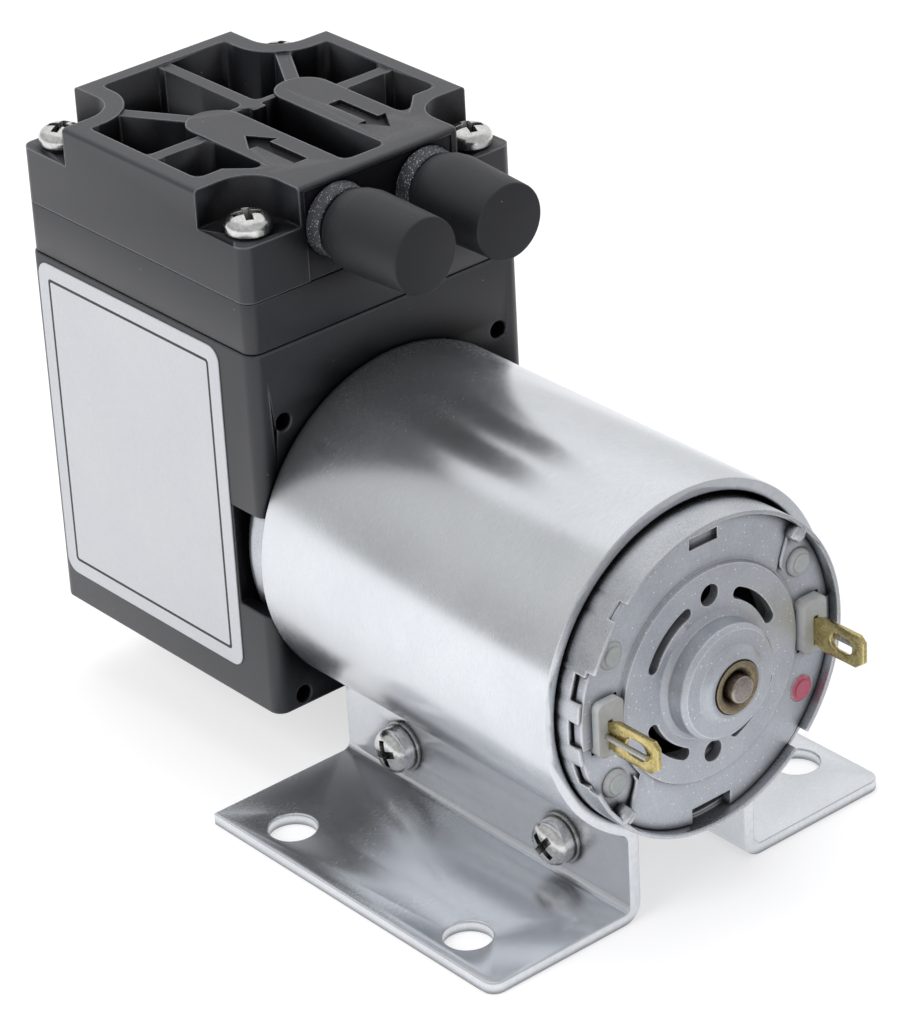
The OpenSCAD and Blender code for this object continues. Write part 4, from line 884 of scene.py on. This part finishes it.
def fold_ridges():
    """The folds that the crimping raises in the end plate beside its two ears."""
    # Millimetres across and up from the axis, and the fold's radius
    path = [
        (9.1, 9.5, 0.13), (8.8, 8.9, 0.2), (8.4, 7.9, 0.2),
        (8.05, 7.0, 0.19), (7.95, 6.4, 0.17), (8.25, 5.85, 0.07),
    ]
    proud = 0.02
    steps = 10
    turns = [2 * math.pi * step / steps for step in range(steps)]
    back = Vector((0.0, 1.0, 0.0))
    edit = bmesh.new()
    for side in (1, -1):
        points = [on_plate(side * across, side * up, proud) for across, up, _ in path]
        rings = []
        for i, (_, _, radius) in enumerate(path):
            ahead = points[min(i + 1, len(points) - 1)] - points[max(i - 1, 0)]
            across = ahead.normalized().cross(back)
            rings.append([
                points[i] + (across * math.cos(t) + back * math.sin(t)) * radius * MM
                for t in turns
            ])
        skin(edit, rings)
    trim(edit, "plate_fold_ridges", bell_steel, 60, "end_bell")


def staked_lugs():
    """The rim's two lugs, squeezed into lumps where the punch folds them over the plate.

    Each starts as a cube of 1 mm that is partly drawn to a ball, then stretched and creased. Its
    X points out from the motor's axis, its Y back into the plate and its Z along the rim.
    """
    # Degrees round the motor's axis, from the right and upwards
    turns = (43.6, -138.0)
    # Millimetres out from the plate's face, and in from the end bell's edge
    proud = 0.34
    inset = 0.42
    ball_radius = 0.62
    ball_share = 0.62
    stretch = Vector((1.35, 1.2, 1.55))
    # The creases run along the rim, and are deepest on the face in front
    crease_depth = 0.09
    crease_pitch = 9
    crease_start = 2.0
    bell_radius = (BELL_HIGH.x - BELL_LOW.x) / 2 / MM
    middle = on_plate(0.0, 0.0, proud)
    edit = bmesh.new()
    for turn in turns:
        cube = bmesh.ops.create_cube(edit, size=1.0)["verts"]
        edges = list(dict.fromkeys(edge for vert in cube for edge in vert.link_edges))
        bmesh.ops.subdivide_edges(edit, edges=edges, cuts=7, use_grid_fill=True)
        facing = Quaternion((0.0, -1.0, 0.0), math.radians(turn))
        # A vertex is tagged once it is in its place
        for vert in [v for v in edit.verts if not v.tag]:
            form = vert.co.lerp(vert.co.normalized() * ball_radius, ball_share)
            wave = math.sin(crease_pitch * form.z + crease_start)
            crease = crease_depth * wave * (0.5 - form.y)
            form = form * stretch
            local = Vector((bell_radius - inset + form.x + crease, form.y - crease, form.z))
            vert.co = middle + facing @ local * MM
            vert.tag = True
    trim(edit, "staked_rim_lugs", can_steel, 60, "motor_can")


frosted_collars()
stake_heads()
fold_ridges()
staked_lugs()


# The label


def corner_points(low, high, radius, steps):
    """The points of a rectangle with round corners, once round, as pairs of values."""
    centres = [
        (high[0] - radius, high[1] - radius),
        (low[0] + radius, high[1] - radius),
        (low[0] + radius, low[1] + radius),
        (high[0] - radius, low[1] + radius),
    ]
    points = []
    for quarter, (across, up) in enumerate(centres):
        for step in range(steps + 1):
            turn = math.radians(90 * (quarter + step / steps))
            points.append((across + radius * math.cos(turn), up + radius * math.sin(turn)))
    return points


def bare_label():
    """The silvery plate on the left side, with a thin black line round it and nothing on it."""
    low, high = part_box("rating_label")
    corner_steps = 8
    corner = 1.3 * MM
    crown = 0.03 * MM
    # Where the black line starts and ends, in from the label's edge
    line_start = 1.35 * MM
    line_end = 1.62 * MM
    # Place along X, distance in from the label's edge, and radius of the corners
    outlines = [
        (high.x, 0.0, corner),
        (low.x + crown, 0.0, corner),
        (low.x, crown, corner - crown),
        (low.x, line_start, 0.35 * MM),
        (low.x, line_end, 0.2 * MM),
    ]
    rings = []
    for x, inset, radius in outlines:
        start = (low.y + inset, low.z + inset)
        end = (high.y - inset, high.z - inset)
        rings.append([(x, y, z) for y, z in corner_points(start, end, radius, corner_steps)])
    edit = bmesh.new()
    faces = skin(edit, rings)
    # The fourth band of faces is the black line
    count = len(rings[0])
    for face in faces[3 * count : 4 * count]:
        face.material_index = 1
    bmesh.ops.recalc_face_normals(edit, faces=edit.faces)
    piece = made_from(edit, "bare_label", label_film, frame_ink)
    finish_piece(piece, "rating_label", "rating_label")


bare_label()


# Stage: floor, world, lamps and camera

WHITE = colour("#ffffff")


def seen_or_mirrored(tree):
    """1 for rays from the camera and for mirrored or refracted ones, else 0."""
    path = add(tree, "ShaderNodeLightPath").outputs
    pair = (path["Is Camera Ray"], path["Is Glossy Ray"])
    either = add(tree, "ShaderNodeMath", pair, operation="MAXIMUM")
    pair = (either, path["Is Transmission Ray"])
    return add(tree, "ShaderNodeMath", pair, operation="MAXIMUM")


def make_floor():
    """A matt table that the camera sees as nearly white, with the pump's shadow on it."""
    half = 6.0
    mesh = bpy.data.meshes.new("floor")
    corners = [(-half, -half, 0), (half, -half, 0), (half, half, 0), (-half, half, 0)]
    mesh.from_pydata(corners, [], [(0, 1, 2, 3)])
    floor = placed("floor", mesh)
    made, tree, shader = new_material("matt_white_table")
    # In mirrors the table is darker in front on the right, where the light falls off. The spans are
    # in metres, and the strengths go from 0, black, to 1, white.
    at = add(tree, "ShaderNodeNewGeometry").outputs["Position"]
    spot = add(tree, "ShaderNodeSeparateXYZ", (at,)).outputs
    forward = add(tree, "ShaderNodeMapRange", (spot["Y"], -0.015, -0.05, 0.0, 1.0), **SOFT)
    right = add(tree, "ShaderNodeMapRange", (spot["X"], -0.005, 0.02, 0.0, 1.0), **SOFT)
    away = add(tree, "ShaderNodeMath", (forward, right), operation="MULTIPLY")
    mirrored = add(tree, "ShaderNodeMapRange", (away, 0.0, 1.0, 0.62, 0.1), **SOFT)
    camera = add(tree, "ShaderNodeLightPath").outputs["Is Camera Ray"]
    shown = add(tree, "ShaderNodeMapRange", (camera, 0.0, 1.0, mirrored, 0.6), **SOFT)
    lift = add(tree, "ShaderNodeMath", (seen_or_mirrored(tree), shown), operation="MULTIPLY")
    feed(shader, {"Base Color": colour("#b9b9bb"), "Roughness": 0.9, "Specular IOR Level": 0.0})
    feed(shader, {"Emission Color": WHITE, "Emission Strength": lift})
    mesh.materials.append(made)


def make_world():
    """White for the camera. Mirrored rays see a pale room with a grey wall on the left.

    The strengths go from 0, black, to 1, white.
    """
    world = bpy.data.worlds.new("studio")
    bpy.context.scene.world = world
    world.use_nodes = True
    tree = world.node_tree
    tree.nodes.clear()
    way = add(tree, "ShaderNodeTexCoord").outputs["Generated"]
    parts = add(tree, "ShaderNodeSeparateXYZ", (way,)).outputs
    side = (parts["Z"], 0.33, parts["X"])
    lean = add(tree, "ShaderNodeMath", side, operation="MULTIPLY_ADD")
    wall = add(tree, "ShaderNodeMapRange", (parts["Z"], 0.0, 0.65, 0.5, 0.66), **SOFT)
    ceiling = add(tree, "ShaderNodeMapRange", (parts["Z"], 0.3, 0.7, 0.86, 1.0), **SOFT)
    sides = add(tree, "ShaderNodeMapRange", (lean, -0.05, 0.05, wall, ceiling), **SOFT)
    # Behind the camera the room is dimmer
    room = add(tree, "ShaderNodeMapRange", (parts["Y"], -0.5, -0.1, 0.55, sides), **SOFT)
    camera = add(tree, "ShaderNodeLightPath").outputs["Is Camera Ray"]
    seen = add(tree, "ShaderNodeMapRange", (camera, 0.0, 1.0, room, 1.0), **SOFT)
    inputs = (seen_or_mirrored(tree), 0.0, 1.0, 0.5, seen)
    strength = add(tree, "ShaderNodeMapRange", inputs, **SOFT)
    back = add(tree, "ShaderNodeBackground", {"Color": WHITE, "Strength": strength})
    add(tree, "ShaderNodeOutputWorld", {"Surface": back})


def softbox(name, place, target, size, power):
    """A square lamp that lights the target and shows in no mirror."""
    lamp = bpy.data.lights.new(name, "AREA")
    lamp.shape = "SQUARE"
    lamp.size = size
    lamp.energy = power
    holder = bpy.data.objects.new(name, lamp)
    holder.location = place
    holder.rotation_mode = "QUATERNION"
    holder.rotation_quaternion = (target - Vector(place)).to_track_quat("-Z", "Y")
    holder.visible_glossy = False
    bpy.context.scene.collection.objects.link(holder)


def make_camera():
    """The photograph's view: 39 degrees to the left of the motor's end and 29 degrees down."""
    place = Vector((-200.42, -235.45, 197.89)) * MM
    turn = math.radians(-39.21)
    height = math.radians(28.72)
    roll = math.radians(-3.19)
    back = Vector(
        (math.sin(turn) * math.cos(height), -math.cos(turn) * math.cos(height), math.sin(height))
    )
    data = bpy.data.cameras.new("camera")
    data.sensor_width = 36.0
    data.lens = 153.33
    data.clip_start, data.clip_end = 0.01, 20.0
    camera = bpy.data.objects.new("camera", data)
    camera.location = place
    camera.rotation_mode = "QUATERNION"
    camera.rotation_quaternion = (-back).to_track_quat("-Z", "Y") @ Quaternion((0, 0, 1), roll)
    bpy.context.scene.collection.objects.link(camera)
    bpy.context.scene.camera = camera


make_floor()
make_world()
middle = (cad_low + cad_high) / 2
# Places and sizes in metres, and powers in watts
softbox("key", (-0.55, 0.0, 0.45), middle, 0.4, 2.2)
softbox("top", (0.1, 0.12, 0.65), middle, 0.5, 2.0)
softbox("fill", (0.4, -0.45, 0.25), middle, 0.3, 0.3)
make_camera()
bpy.context.scene.view_settings.view_transform = "Standard"
